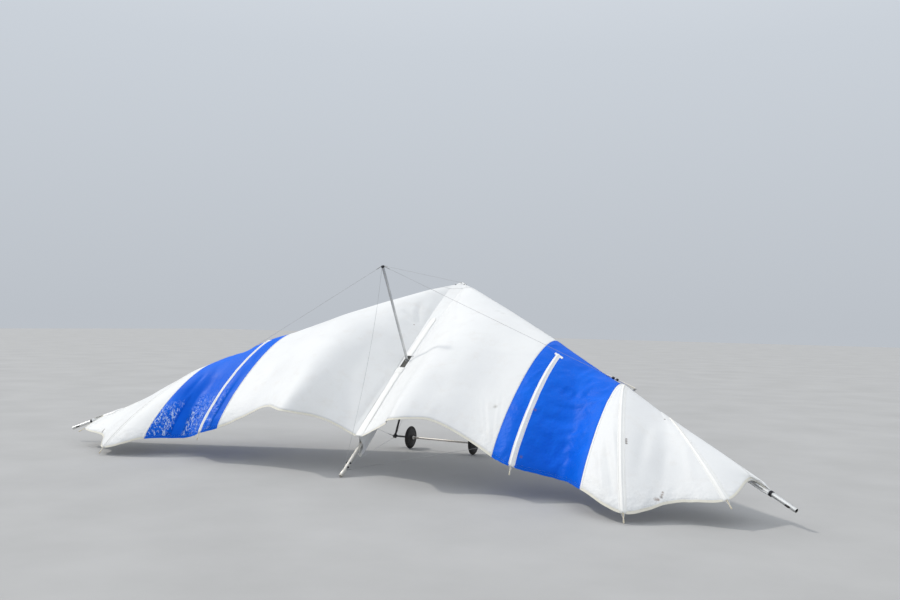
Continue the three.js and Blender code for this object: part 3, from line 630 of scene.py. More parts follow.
# The valley that an upper side wire presses into the cloth: deeper on the left, which stands higher
PRESS_DEPTH = {-1: 0.044, 1: 0.008}
PRESS = {"half": 0.09, "along": (0.15, 0.32, 0.44, 0.72), "front": (0.0, 0.012)}


def wire_press(s, x, u, side):
    """How far the upper side wire presses the cloth down at the keel frame points x, u."""
    run = np.array((0.026 - SIDE_WIRE_END[0], KINGPOST_CAP[0] - SIDE_WIRE_END[1]))
    run /= np.hypot(*run)
    along = (x - SIDE_WIRE_END[0]) * run[0] + (u - SIDE_WIRE_END[1]) * run[1]
    away = (u - SIDE_WIRE_END[1]) * run[0] - (x - SIDE_WIRE_END[0]) * run[1]
    depth = PRESS_DEPTH[side] * hump(along, *PRESS["along"]) * ease(s, *PRESS["front"])
    return depth * hill(away, PRESS["half"])


def sail_points(t, s, side, above=0.0):
    """Row frame points of the cloth, above it by a distance along the rig's up axis."""
    x, u, w = sail_surface(t, s, side)
    s = np.broadcast_to(np.atleast_2d(s), x.shape)
    t = np.broadcast_to(np.atleast_1d(t)[:, None], x.shape)
    return place(side * x, u, w + slack(t, s, x, u, side) - wire_press(s, x, u, side) + above)


def sail_line(t, s, side, above=0.0):
    """Row frame points of the cloth at pairs of t and s."""
    t, s = np.broadcast_arrays(np.asarray(t, float), np.asarray(s, float))
    return sail_points(t, s[:, None], side, above)[:, 0]


def across_rib(t_center, s, offsets, side, lift):
    """Points of a ribbon that runs chordwise along rib t_center, as wide as offsets, in metres."""
    near = 0.02
    x0, u0, _ = sail_surface(t_center - near, s)
    x1, u1, _ = sail_surface(t_center + near, s)
    per_metre = 2 * near / np.hypot(x1 - x0, u1 - u0)[0]
    return np.array([sail_line(t_center + offset * per_metre, s, side, height)
                     for offset, height in zip(offsets, lift)])


def zigzag(line, across, pitch=0.006, width=0.003, thread=0.0007):
    """A flat zigzag stitch along a line of points; across is the sideways direction at each."""
    length = np.concatenate([[0], np.cumsum(np.linalg.norm(np.diff(line, axis=0), axis=1))])
    count = max(int(length[-1] / pitch), 4)
    steps = np.linspace(0, length[-1], count)
    centre, sideways = (np.stack([np.interp(steps, length, v[:, k]) for k in range(3)], 1)
                        for v in (line, across))
    tangent = unit(np.gradient(centre, axis=0))
    swing = np.where(np.arange(count) % 2, 0.5, -0.5)[:, None] * width
    middle = centre + unit(sideways) * swing
    points = np.concatenate([middle - tangent * thread, middle + tangent * thread])
    return points, [(i, i + 1, i + 1 + count, i + count) for i in range(count - 1)]


def stitches(name, lines, across, material="thread", slot="white_sailcloth", **sizes):
    """Zigzag rows along lines as one piece."""
    return piece(name, [zigzag(line, across, **sizes) for line in lines], material, "smooth")


def row_stitches(name, points, rows, lift=0.0012, **more):
    """Zigzag rows along some rows of a cloth's grid of points."""
    return stitches(name, [points[row] + RIG_UP * lift for row in rows], points[-1] - points[0], **more)


# Sail panels: name, first and last rib, columns, cloth and hem
PANELS = (
    ("center", 0.0, 5.0, 105, "white", "hem"),
    ("band", 5.0, 8.0, 66, "blue", "blue"),
    ("tip", 8.0, 13.0, 110, "white", "hem"),
)
SAIL_ROWS = chord_rows(110, 1.7)
HEM_WIDTH = 0.021
HEM_FOLD = ((1.0, 0.0013), (0.5, 0.0016), (0.0, 0.0013), (-0.08, 0.0), (0.0, -0.0024), (0.5, -0.0026),
            (1.0, -0.0024))
HEM_STITCHES = ((HEM_WIDTH - 0.004, 0.0024), (HEM_WIDTH + 0.010, 0.0010))
STRIP_ROWS = chord_rows(16, 1.6)
STRIP_WIDTH = 0.070
STRIP_SHARE = 0.8
STRIP_LIFT = 0.0012
STRIP_STITCH_LIFT = 0.0032
STRIP_STITCHES = (STRIP_WIDTH - 0.006, STRIP_WIDTH - 0.016)


def crinkled(t, s, side):
    """Where the cloth is crumpled: along its rear edge, a little all over the right blue panel, and
    much at the rear of the left one. Where it is deep, at the rear of the left blue panel, the blue cloth
    also gets painted glints."""
    edge = 0.25 * ease(s, 0.80, 1.0) * ease(t, 3.5, 5.0)
    if side > 0:
        return np.maximum(edge, 0.20 * ease(s, 0.05, 0.25) * hump(t, 5.0, 5.2, 7.8, 8.0))
    patches = (0.55 * hump(t, 5.3, 5.5, 5.9, 6.0) + hump(t, 6.1, 6.3, 7.05, 7.2)
               + hump(t, 7.38, 7.5, 8.0, 8.05))
    return np.maximum(edge, ease(s, 0.56, 0.84) * patches)


def make_sail():
    """The six panels, each with its hem, leading edge strip and stitching."""
    for word, side in SIDES:
        for panel, start, end, columns, material, hem in PANELS:
            name, slot = f"{panel}_{word}", f"{material}_sailcloth"
            t = np.linspace(start, end, columns + 1)
            points = sail_points(t, SAIL_ROWS, side)
            cloth = cloth_grid(f"sail_panel_{name}", points, material, flip=side < 0, slot=slot,
                               replaced=[f"sail_{name}"])
            set_crinkle(cloth, crinkled(*np.meshgrid(t, SAIL_ROWS, indexing="ij"), side))
            extras = [trailing_hem(name, side, t, hem, slot), leading_strip(name, side, t, material, slot),
                      panel_stitches(name, side, t)]


def trailing_hem(name, side, t, material, slot):
    """Tape folded round the trailing edge."""
    chord = chord_length(t, 0.98)
    rows = []
    for inset, lift in HEM_FOLD:
        s = 1 - inset * HEM_WIDTH / chord
        beyond = np.maximum(s - 1, 0) * chord
        rows.append(sail_line(t, np.minimum(s, 1.0), side, lift) - RIG_FORWARD * beyond[:, None])
    return cloth_grid(f"trailing_hem_{name}", np.stack(rows, 1), material, 0, side < 0, slot=slot)


def leading_strip(name, side, t, material, slot):
    """The second layer of cloth over the leading edge, which takes the wear of the tube."""
    share = np.minimum(STRIP_WIDTH / chord_length(t), STRIP_SHARE)
    rows = [sail_line(t, step * share if step > 0 else step, side) for step in STRIP_ROWS]
    points = np.array(rows).transpose(1, 0, 2)
    outward = side * unit(np.cross(np.gradient(points, axis=1), np.gradient(points, axis=0)))
    return cloth_grid(f"leading_edge_strip_{name}", points + STRIP_LIFT * outward, material, TAPE_CLOTH,
                      side < 0, slot=slot)


def panel_stitches(name, side, t):
    """Zigzag rows along the hem and the leading edge strip."""
    chord = chord_length(t)
    lines = [sail_line(t, 1 - inset / chord, side, lift) for inset, lift in HEM_STITCHES]
    lines += [sail_line(t, np.minimum(inset / chord, STRIP_SHARE), side, STRIP_STITCH_LIFT)
              for inset in STRIP_STITCHES]
    return stitches(f"stitches_{name}", lines, np.tile(RIG_FORWARD, (len(t), 1)))


# Seams between the panels: name, rib, offset, width and cloth
SEAMS = (("inner", 5.0, -0.004, 0.016, "white"), ("outer", 8.0, 0.014, 0.027, "bright"))
SEAM_PROFILE = np.array((-0.5, -0.3, 0, 0.3, 0.5))
SEAM_LIFT = (0.0006, 0.0022, 0.0026, 0.0022, 0.0006)


def make_seams():
    """Flat felled seams between the panels, each a tape with two rows of stitches."""
    s = np.linspace(0.012, 0.995, 120)
    for word, side in SIDES:
        for seam, rib, offset, width, material in SEAMS:
            name = f"{seam}_{word}"
            points = across_rib(rib, s, SEAM_PROFILE * width + offset, side, SEAM_LIFT)
            tape = cloth_grid(f"seam_tape_{name}", points, material, TAPE_CLOTH, side < 0)
            row_stitches(f"seam_stitches_{name}", points, (1, 3), 0.0005)


# Stains and rubbed spots, and a painted shadow in a slit: cloth, side, place t and s, radius,
# strength and colour
MARKS = (
    ("white", -1, 0.43, 0.351, 0.013, 0.85, BROWN),
    ("white", 1, 4.54, 0.758, 0.032, 0.70, GREY_STAIN),
    ("white", 1, 2.88, 0.120, 0.050, 0.20, GREY_STAIN),
    ("white", 1, 3.09, 0.118, 0.044, 0.20, GREY_STAIN),
    ("white", 1, 9.66, 0.954, 0.024, 0.75, BROWN),
    ("white", 1, 9.71, 0.961, 0.020, 0.70, BROWN),
    ("white", 1, 9.77, 0.951, 0.020, 0.80, DARK_STAIN_AND_SHADOW),
    ("white", 1, 9.79, 0.936, 0.018, 0.75, BROWN),
    ("white", 1, 9.81, 0.922, 0.015, 0.70, BROWN),
    ("white", 1, 10.42, 0.198, 0.014, 0.90, DARK_STAIN_AND_SHADOW),
    # Painted shadow: the dark gap along the right edge of the middle batten pocket
    ("white", 1, 9.14, 0.572, 0.018, 0.90, DARK_STAIN_AND_SHADOW),
    ("white", 1, 9.14, 0.586, 0.018, 0.90, DARK_STAIN_AND_SHADOW),
    ("white", 1, 9.14, 0.600, 0.018, 0.90, DARK_STAIN_AND_SHADOW),
    ("white", -1, 10.13, 0.980, 0.018, 0.85, DARK_STAIN_AND_SHADOW),
    ("white", -1, 10.15, 0.962, 0.020, 0.85, DARK_STAIN_AND_SHADOW),
    ("white", -1, 10.17, 0.942, 0.016, 0.85, DARK_STAIN_AND_SHADOW),
    ("blue", 1, 6.14, 0.645, 0.024, 0.75, BROWN),
    ("blue", 1, 6.18, 0.940, 0.022, 0.70, BROWN),
)


def make_marks():
    """The marks on each cloth: soft-edged, uneven patches round points of the sail."""
    for key in ("white", "blue"):
        tree = Tree(MATERIALS[key])
        where = tree.coordinate()
        ragged = tree.noise(70.0, 6.0, 0.7)
        for cloth, side, t, s, radius, strength, colour in MARKS:
            if cloth != key:
                continue
            distance = tree.add("VectorMath")
            distance.operation = "DISTANCE"
            tree.feed(distance.inputs[0], where)
            tree.feed(distance.inputs[1], tuple(float(v) for v in sail_line([t], [s], side)[0]))
            rough = tree.calc("MULTIPLY_ADD", ragged, radius * 1.6, distance.outputs["Value"])
            mask = tree.ramp(tree.calc("DIVIDE", rough, radius * 1.8), (0.45, strength), (1.0, 0.0))
            tree.shade(Base_Color=tree.mix(mask, tree.colour(), colour))


# Battens in sewn pockets: name, rib, where the pocket starts, its width and that of its head patch
BATTENS = (
    ("inner", 6.0, 0.175, 0.062, 0.120),
    ("middle", 9.0, 0.04, 0.074, 0.0),
    ("outer", 11.0, 0.12, 0.074, 0.0),
)
ROD_RADIUS = 0.005
ROD_TAIL = 0.080
POCKET_BULGE = 0.0112
POCKET_SPREAD = 0.0125
POCKET_PROFILE = (0.0, 0.0025, 0.005, 0.0075, 0.010, 0.013, 0.017)


def make_battens():
    for word, side in SIDES:
        for batten, rib, from_s, width, head in BATTENS:
            name, half = f"{batten}_{word}", width / 2
            outward = np.concatenate([POCKET_PROFILE, [half * 0.75, half - 0.001, half]])
            profile = np.concatenate([-outward[::-1], outward[1:]])
            bulge = 0.0014 + POCKET_BULGE * hill(profile, POCKET_SPREAD)
            bulge[[0, -1]] = 0.0004
            points = across_rib(rib, np.linspace(from_s, 1.0, 110), profile, side, bulge)
            pocket = cloth_grid(f"batten_pocket_{name}", points, "bright", POCKET_CLOTH, side < 0)
            extras = [pocket_head(name, side, rib, from_s, head)] if head else []
            extras.append(row_stitches(f"batten_stitches_{name}", points, (2, -3), 0.001))
            batten_rod(name, side, rib, from_s)


def pocket_head(name, side, rib, from_s, width):
    """The crosswise patch over the front end of a pocket."""
    across = np.linspace(-0.5, 0.5, 25) * width
    s = np.linspace(from_s - 0.010, from_s + 0.012, 8)
    points = across_rib(rib, s, across, side, 0.0026 + 0.0110 * hill(across, 0.011))
    return cloth_grid(f"batten_pocket_head_{name}", points, "bright", POCKET_CLOTH, side < 0)


def batten_rod(name, side, rib, from_s):
    """The rod, its end cap beyond the trailing edge, and the cord that ties it in."""
    line = sail_line(rib, np.linspace(from_s + 0.01, 1.0, 60), side, ROD_RADIUS + 0.001)
    out = unit(line[-1] - line[-3])
    beyond = lambda *steps: [line[-1] + out * step for step in steps]
    rod = tube_mesh(np.concatenate([line, beyond(0.02, 0.045, ROD_TAIL)]), ROD_RADIUS, 12)
    cap_path = beyond(ROD_TAIL - 0.022, ROD_TAIL - 0.02, ROD_TAIL + 0.004, ROD_TAIL + 0.008)
    cap = tube_mesh(cap_path, (0.0052, 0.0072, 0.0072, 0.0045), 16)
    piece(f"batten_rod_{name}", [rod, cap], "batten", replaced=[f"batten_{name}"])
    across = unit(np.cross(out, RIG_UP))
    knot = beyond(ROD_TAIL - 0.026)[0]
    loops = []
    for hand in (-1, 1):
        foot = sail_line(rib, [0.985], side, 0.004)[0] + across * hand * 0.016
        middle = (foot + knot) / 2 + across * hand * 0.006 + RIG_UP * 0.002
        path = [foot, foot * 0.6 + middle * 0.4, middle, middle * 0.4 + knot * 0.6, knot]
        loops.append(tube_mesh(path, 0.0013, 6))
    ring = [knot + 0.0068 * (math.cos(a) * across + math.sin(a) * np.cross(out, across))
            for a in np.linspace(0, 2 * math.pi, 17)]
    loops.append(tube_mesh(ring, 0.0014, 6, closed_ends=False))
    piece(f"batten_tie_{name}", loops, "thread", "smooth")


# The keel strip and its ridge
RIDGE_START = 0.88
RIDGE_HALF = 0.038
RIDGE_SWELL = 0.0045
STRIP_LAP = 0.006
ROOT_SLOPE = 0.25
KEEL_CLOTH_LIFT = 0.0012


def root_line(u):
    """Half width and height of the sail's inner edge at u."""
    x, us, w = (v[0] for v in sail_surface(0.0, np.linspace(0, 1, 400)))
    return np.interp(u, us, x), np.interp(u, us, w)


def make_keel_strip():
    """Cloth between the two wings, open where the kingpost passes, and the band sewn over it."""
    root_front = sail_surface(0.0, 0.02)[1][0, 0]
    spans = (("front", root_front, SLOT_FRONT, 61), ("rear", SLOT_BACK, ROOT_BACK, 51))
    for name, start, end, count in spans:
        u = np.linspace(start, end, count)[:, None]
        half, height = root_line(u)
        across = np.concatenate([[-1.1], np.linspace(-1, 1, 25), [1.1]])
        inside = np.clip(across, -1, 1)
        lift = 0.003 * ease(u, RIDGE_START, RIDGE_START + 0.3)
        bow = np.cos(inside * math.pi / 2) * lift + KEEL_CLOTH_LIFT
        bow[:, [0, -1]] -= STRIP_LAP * ROOT_SLOPE
        x = inside * half + np.sign(across) * (np.abs(across) > 1) * STRIP_LAP
        points = place(x, u, height + bow + creases(x, u))
        cloth_sheet(f"keel_cloth_{name}", points, "white", SAIL_CLOTH, True, "keel_pocket_cloth",
                    replaced=[f"sail_keel_band_{name}"])
        ridge_band(name, max(start, RIDGE_START), end)


def ridge_band(name, start, end):
    """The bright reinforcing band, raised a little, with a rounded front end."""
    u = (start + (end - start) * np.linspace(0, 1, 71) ** 1.3)[:, None]
    half, height = root_line(u)
    across = np.linspace(-1, 1, 17)
    swell = RIDGE_SWELL * ease(u, RIDGE_START, RIDGE_START + 0.25)
    widen = RIDGE_HALF * (1 + 0.25 * ease(u, 2.3, 3.0))
    corner = np.sqrt(1 - (1 - np.clip((u - start) / RIDGE_HALF, 0, 1)) ** 2)
    lift = 0.0030 + 0.003 * np.cos(across * math.pi / 4) + swell * (1 - np.abs(across) ** 2.5)
    x = across * np.minimum(widen, half * 1.4) * np.maximum(corner, 0.15)
    points = place(x, u, height + lift)
    band = cloth_grid(f"keel_band_{name}", points, "bright", PATCH_CLOTH, True)
    rows = row_stitches(f"keel_band_stitches_{name}", points.transpose(1, 0, 2), (1, 15))


# The dark cloth that closes the slot, in two halves that part round the kingpost. Its darkness is
# partly the cloth's grey and partly painted shade of the opening under the sail.
COVER_FRONT, COVER_BACK = 1.660, 1.893
COVER_HALF = 0.040
COVER_DROP = 0.0050
KINGPOST_U = 1.722
KINGPOST_GAP = (0.021, 0.027)
PATCH_HALF = 0.046
BORDER_INSIDE = 0.037
BORDER_DROP = 0.0036


def make_slot_cover():
    """The dark cloth round the kingpost, dark partly from painted shade of the opening, and its
    white border on the underside.
    """
    u = np.linspace(COVER_FRONT, COVER_BACK, 60)
    gap_x, gap_u = KINGPOST_GAP
    inner = gap_x * np.sqrt(np.maximum(1 - ((u - KINGPOST_U) / gap_u) ** 2, 0)) + 0.0001
    x = np.linspace(inner, COVER_HALF, 12, axis=1)
    w = root_line(u[:, None])[1] - COVER_DROP - 0.006 * np.cos(x / COVER_HALF * math.pi / 2)
    for word, side in SIDES:
        points = place(side * x, u[:, None], w)
        cloth_sheet(f"kingpost_slot_cloth_{word}", points, "slot", SAIL_CLOTH, side > 0, "keel_cloth_rear",
                    slot="webbing")
    u = np.linspace(SLOT_FRONT - 0.010, SLOT_BACK + 0.010, 46)
    half, height = root_line(u)
    x = np.linspace(BORDER_INSIDE, half + STRIP_LAP, 9, axis=1)
    w = height[:, None] - BORDER_DROP - STRIP_LAP * ROOT_SLOPE * (x > half[:, None])
    for word, side in SIDES:
        cloth_sheet(f"slot_border_{word}", place(side * x, u[:, None], w), "white", PATCH_CLOTH, side > 0,
                    "keel_cloth_rear")


def make_slot_patch():
    """The stitched white patch at the rear end of the slot."""
    u = np.linspace(SLOT_BACK - 0.004, SLOT_BACK + 0.096, 22)[:, None]
    across = np.linspace(-1, 1, 21)
    lift = 0.0062 + RIDGE_SWELL * (1 - across**2)
    points = place(across * PATCH_HALF, u, root_line(u)[1] + lift)
    patch = cloth_grid("slot_patch", points, "bright", PATCH_CLOTH, True)
    rows = row_stitches("slot_patch_stitches", points, (2, 8, 13, 19), material="grey_thread",
                        pitch=0.008, width=0.005)


# The keel pocket: its end, the drops of its lower edge under the keel, and the cut behind the sail
POCKET_TAIL = 3.150
POCKET_DROP = (0.052, 0.112)
POCKET_CUT = -0.040
POCKET_LOW = 0.010
POCKET_HEM = 0.0036
# Half width at heights over the keel's middle
POCKET_SIDE = ((-0.030, 0.0200), (-0.006, 0.0252), (0.012, 0.0245), (0.030, 0.0150), (0.050, 0.0080),
               (0.120, 0.0045))


def make_keel_pocket():
    """The sleeve of cloth that hangs from the keel strip and holds the keel. Behind the sail its top
    is cut away, and its lower part hangs below the tube."""
    u = np.concatenate([np.linspace(POCKET_FRONT, ROOT_BACK - 0.01, 40),
                        np.linspace(ROOT_BACK, POCKET_TAIL, 16)])
    _, height = root_line(np.minimum(u, ROOT_BACK))
    behind = ease(u, ROOT_BACK - 0.02, ROOT_BACK + 0.035)
    cut = POCKET_CUT - 0.022 * ease(u, ROOT_BACK, POCKET_TAIL)
    top = (height - 0.004) * (1 - behind) + cut * behind
    least, most = POCKET_DROP
    drop = least + (most - least) * ease(u, 2.30, 2.92) - 0.006 * ease(u, 3.08, POCKET_TAIL)
    half_at, side_x = np.array(POCKET_SIDE).T
    fold = np.radians(np.linspace(180, 360, 13))
    rows = []
    for ui, wi, low in zip(u, top, drop):
        sway = 0.006 * lattice_noise(np.array([ui * 9.0]), np.array([0.3]), 21)[0]
        wobble = 0.0015 * lattice_noise(np.array([ui * 15.0]), np.array([2.0]), 23)[0]
        bottom = POCKET_LOW - low
        levels = np.linspace(wi, bottom, 14)
        slim = np.interp(levels, half_at, side_x) * np.interp(levels, (bottom, -0.028), (0.45, 1.0)) + wobble
        hang = sway * np.clip(-levels / low, 0, 1)
        left = np.stack([hang - slim, levels], 1)
        right = np.stack([hang + slim, levels], 1)[::-1]
        turn = np.stack([hang[-1] + slim[-1] * np.cos(fold), bottom + POCKET_LOW * np.sin(fold)], 1)[1:-1]
        section = np.concatenate([left, turn, right])
        rows.append(place(section[:, 0], ui, section[:, 1]))
    points = np.array(rows)
    pocket = cloth_grid("keel_pocket_cloth", points, "white", replaced=["sail_keel_pocket"])
    hem_points = points[-4:] + (points[-1:] - points[-2:-1]) * 0.15
    hem = cloth_grid("keel_pocket_hem", hem_points, "bright", POCKET_HEM, offset=0.0)


# The sleeve that gathers the wing tip round the leading edge tube, and the fittings beyond it
SLEEVE_FRONT = 4.940
SLEEVE_END = TIP_CLAMP - 0.0005
SLEEVE_SAG = 0.012
KNOB_AT = 5.600
HOLE_AT = 5.622
KNOB = ((0.0008, -0.026), (0.0055, -0.024), (0.0080, -0.017), (0.0086, 0.000), (0.0080, 0.017),
        (0.0055, 0.024), (0.0008, 0.026))
HOLE_RIM = ((0.0004, 0.0), (0.0062, 0.0), (0.0062, 0.0024), (0.0054, 0.0026), (0.0050, 0.0022),
            (0.0004, 0.0022))


def make_tips():
    """The gathered sleeves, and a knob and a hole on the bare end of each tube."""
    angle = np.linspace(0, 2 * math.pi, 73)[:, None]
    for word, side in SIDES:
        run = leading_edge(1.0, side) - NOSE
        ahead = unit(np.cross(run, RIG_UP) * side)
        rows = []
        for v in np.linspace(0, 1, 33):
            gather = max(ease(v, 0.80, 0.97), 1 - ease(v, 0.0, 0.30))
            radius = (0.036 - 0.005 * v) * (1 - gather) + (REAR_TUBE_RADIUS + 0.0035) * gather
            sag = SLEEVE_SAG * (1 - gather)
            centre = leading_edge(SLEEVE_FRONT + v * (SLEEVE_END - SLEEVE_FRONT), side)
            centre = centre - ahead * sag * 0.8 - RIG_UP * sag
            pleat = 1 + (0.035 + 0.05 * gather) * np.sin(9 * angle + 2 * math.sin(3 * v)) * (0.3 + v)
            rows.append(centre + (ahead * np.cos(angle) + RIG_UP * np.sin(angle)) * radius * pleat)
        cloth_sheet(f"tip_sleeve_{word}", np.array(rows), "white", PATCH_CLOTH, side < 0,
                    f"leading_edge_{word}", held="gathered")
        knob_centre = leading_edge(KNOB_AT, side) + (ahead * 0.87 + RIG_UP * 0.49) * 0.0282
        piece(f"tip_knob_{word}", [lathe_mesh(KNOB, knob_centre, run, 24)], "plastic")
        out = RIG_UP * 0.60 - ahead * 0.80
        hole = leading_edge(HOLE_AT, side) + out * (REAR_TUBE_RADIUS - 0.002)
        piece(f"tip_hole_{word}", [lathe_mesh(HOLE_RIM, hole, out, 20)], "plastic",
              "smooth")


# Clips on each upper side wire: distance from its outer end and half length
WIRE_CLIPS = ((0.250, 0.015), (0.205, 0.013))
CLIP_PROFILE = ((0.0094, -1), (0.0122, -1), (0.0130, -0.6), (0.0130, 0.6), (0.0122, 1), (0.0094, 1))


def make_wire_clips():
    """Two dark clips round the outer end of each upper side wire, where a pale sleeve covers it."""
    for word, side in SIDES:
        end = place(side * SIDE_WIRE_END[0], *SIDE_WIRE_END[1:])
        run = unit(place(side * 0.03, *KINGPOST_CAP) - end)
        clips = [lathe_mesh([(r, h * half) for r, h in CLIP_PROFILE], end + run * from_end, run, 24)
                 for from_end, half in WIRE_CLIPS]
        piece(f"side_wire_clips_{word}", clips, "plastic")


# The nose: a cap of cloth over the plates, with a washer over each leading edge bolt
CAP_FRONT, CAP_BACK = -0.046, 0.170
CAP_LOW = -0.030
CAP_ROUND = 0.030
CAP_TOP = 0.0372
CAP_CLOTH = 0.003
CAP_END = ((CAP_FRONT, -0.040, -0.030, 0.030), (0.004, 0.018, 0.032, 0.1005))
NOSE_BOLT = (0.066, 0.050)
NOSE_WASHER = ((0.0040, -0.004), (0.0200, -0.004), (0.0205, -0.001), (0.0190, 0.0012), (0.0110, 0.0028),
               (0.0040, 0.0030))


def make_nose():
    """The cap, draped over the sail and the plates and rounded down at its rim, and its washers."""
    sail = sail_surface(np.linspace(0, 3, 170), np.linspace(0, 0.32, 170))
    sail_x, sail_u, sail_w = (v.ravel() for v in sail)
    u = np.linspace(CAP_FRONT, CAP_BACK, 40)[:, None]
    root_half, root_height = root_line(u)
    half = np.maximum(np.interp(u, *CAP_END), u / math.tan(math.pi / 2 - NOSE_HALF_ANGLE) + 0.0520)
    x = np.sin(np.linspace(-math.pi / 2, math.pi / 2, 57)) * half
    top = np.empty_like(x)
    for i, j in np.ndindex(x.shape):
        top[i, j] = sail_w[((sail_x - abs(x[i, j])) ** 2 + (sail_u - u[i]) ** 2).argmin()]
    top = np.where((np.abs(x) < root_half) & (u > 0.035), root_height, top)
    lowest = np.where(u < 0.12, CAP_TOP, 0.0)
    top = np.maximum(top + CAP_CLOTH, lowest)
    for _ in range(6):
        blurred = top.copy()
        blurred[1:-1, 1:-1] = (top[:-2, 1:-1] + top[2:, 1:-1] + top[1:-1, :-2] + top[1:-1, 2:]) / 4
        top = np.maximum(blurred, np.maximum(top - 0.0015, lowest))
    edge = np.minimum(half - np.abs(x), u - CAP_FRONT)
    rise = np.sqrt(1 - (1 - np.clip(edge / CAP_ROUND, 0, 1)) ** 2)
    points = place(x, u, CAP_LOW + (top - CAP_LOW) * rise + creases(x, u) * 0.5)
    cloth_sheet("nose_cap", points, "white", PATCH_CLOTH, True, "nose_plate_top")
    for word, side in SIDES:
        centre = place(side * NOSE_BOLT[0], NOSE_BOLT[1], 0.0385)
        washer = lathe_mesh(NOSE_WASHER, centre, RIG_UP, 40)
        piece(f"nose_washer_{word}", [washer], "bright")
        bolt(f"nose_bolt_{word}", centre + RIG_UP * 0.0026, RIG_UP, height=0.007, material="dark")


# Bolts. Their closed rings start at the radius CORE.
CORE = 0.0006
WASHER_TOP = 0.0014
APEX_FACES = (("front", 1.5550, 1), ("rear", 1.6150, -1))


def bolt(name, base, axis, radius=0.0085, height=0.008, material="bolt"):
    """A hexagon head with a washer under it and a chamfered thread end over it."""
    wide, thread = radius * 1.35, radius * 0.52
    rings = (
        (24, ((CORE, 0), (wide, 0), (wide, WASHER_TOP), (CORE, WASHER_TOP))),
        (6, ((CORE, WASHER_TOP), (radius, WASHER_TOP), (radius, height * 0.86), (radius * 0.88, height),
             (CORE, height))),
        (16, ((CORE, height), (thread, height), (thread, height + 0.004), (radius * 0.44, height + 0.005),
              (CORE, height + 0.005))),
    )
    piece(name, [lathe_mesh(rows, base, axis, count) for count, rows in rings], material,
          "flat")


def make_fitting_bolts():
    """Bolts under the nose plate and the crossbar joint plates, and through the control frame apex."""
    for index, (x, u) in enumerate(((-0.066, 0.050), (0.066, 0.050), (0.0, 0.096))):
        bolt(f"nose_lower_bolt_{index}", place(x, u, PLATE_UNDER + 0.0010), -RIG_UP)
    for word, side in SIDES:
        for index, (x, u) in enumerate(((-0.045, -0.014), (-0.125, -0.008), (-0.195, -0.012))):
            base = place(side * (JUNCTION[0] + x), JUNCTION[1] + u, PLATE_UNDER)
            bolt(f"joint_bolt_{word}_{index}", base, -RIG_UP)
    for face, u, toward in APEX_FACES:
        for index, (x, w) in enumerate(((-0.032, -0.043), (0.032, -0.043), (0.0, -0.078))):
            bolt(f"apex_bolt_{face}_{index}", place(x, u, w), RIG_FORWARD * toward, 0.0080, 0.007)


# The keel's end sleeve, as radius over the tube and distance back
TAIL_SLEEVE = ((0.0003, 0.0), (0.0018, 0.0), (0.0024, 0.0012), (0.0024, 0.0780), (0.0016, 0.0800),
               (0.0003, 0.0800))


def make_tail():
    """The end sleeve of the keel and the bolts that carry the rear wires."""
    rows = [(KEEL_RADIUS + over, back) for over, back in TAIL_SLEEVE]
    sleeve = lathe_mesh(rows, place(0, 3.446, 0), -RIG_FORWARD, 48)
    piece("keel_tail_sleeve", [sleeve], "keel")
    for word, side in SIDES:
        for index, (u, w) in enumerate(((3.405, 0.0), (3.350, 0.006))):
            base = place(side * (KEEL_RADIUS - 0.0006), u, w)
            bolt(f"tail_bolt_{word}_{index}", base, RIG_RIGHT * side, height=0.009, material="dark")


# Wheels: a lens of two moulded dishes with a thin rubber rim, as radius and height of one half
DISH = ((0.0134, 0.0340), (0.0235, 0.0340), (0.0255, 0.0325), (0.0262, 0.0290), (0.0300, 0.0272),
        (0.0420, 0.0262), (0.0440, 0.0275), (0.0470, 0.0275), (0.0490, 0.0255), (0.0700, 0.0226),
        (0.0900, 0.0192), (0.1020, 0.0168), (0.1035, 0.0180), (0.1075, 0.0176), (0.1095, 0.0156),
        (0.1140, 0.0150), (0.1156, 0.0138))
RIM = ((0.1162, 0.0130), (0.1172, 0.0143), (0.1200, 0.0136), (0.1290, 0.0112), (0.1370, 0.0090),
       (0.1420, 0.0072), (0.1450, 0.0060), (0.1475, 0.0044), (0.1490, 0.0028), (0.1498, 0.0012))


# Pieces of a wheel: name, rows, material, slot and the CAD node that it stands for
WHEEL_PIECES = (("wheel_dish", DISH, "plastic", "black_plastic", "wheel_disc"),
                ("tyre_rim", RIM, "tyre", "tyre", "tyre"))


def make_wheels():
    for word, side in SIDES:
        for name, half, material, slot, node in WHEEL_PIECES:
            rows = list(half) + [(r, -h) for r, h in reversed(half)]
            ring = lathe_mesh(rows, AXLE + RIG_RIGHT * side * WHEEL_X, RIG_RIGHT, 96)
            piece(f"{name}_{word}", [ring], material, body=f"wheel_{word}",
                  replaced=[f"{node}_{word}"])


# The hang loop
LOOP_LENGTH = 0.330
LOOP_INSIDE = 0.0089
LOOP_THICK = 0.0038
LOOP_HALF = 0.023


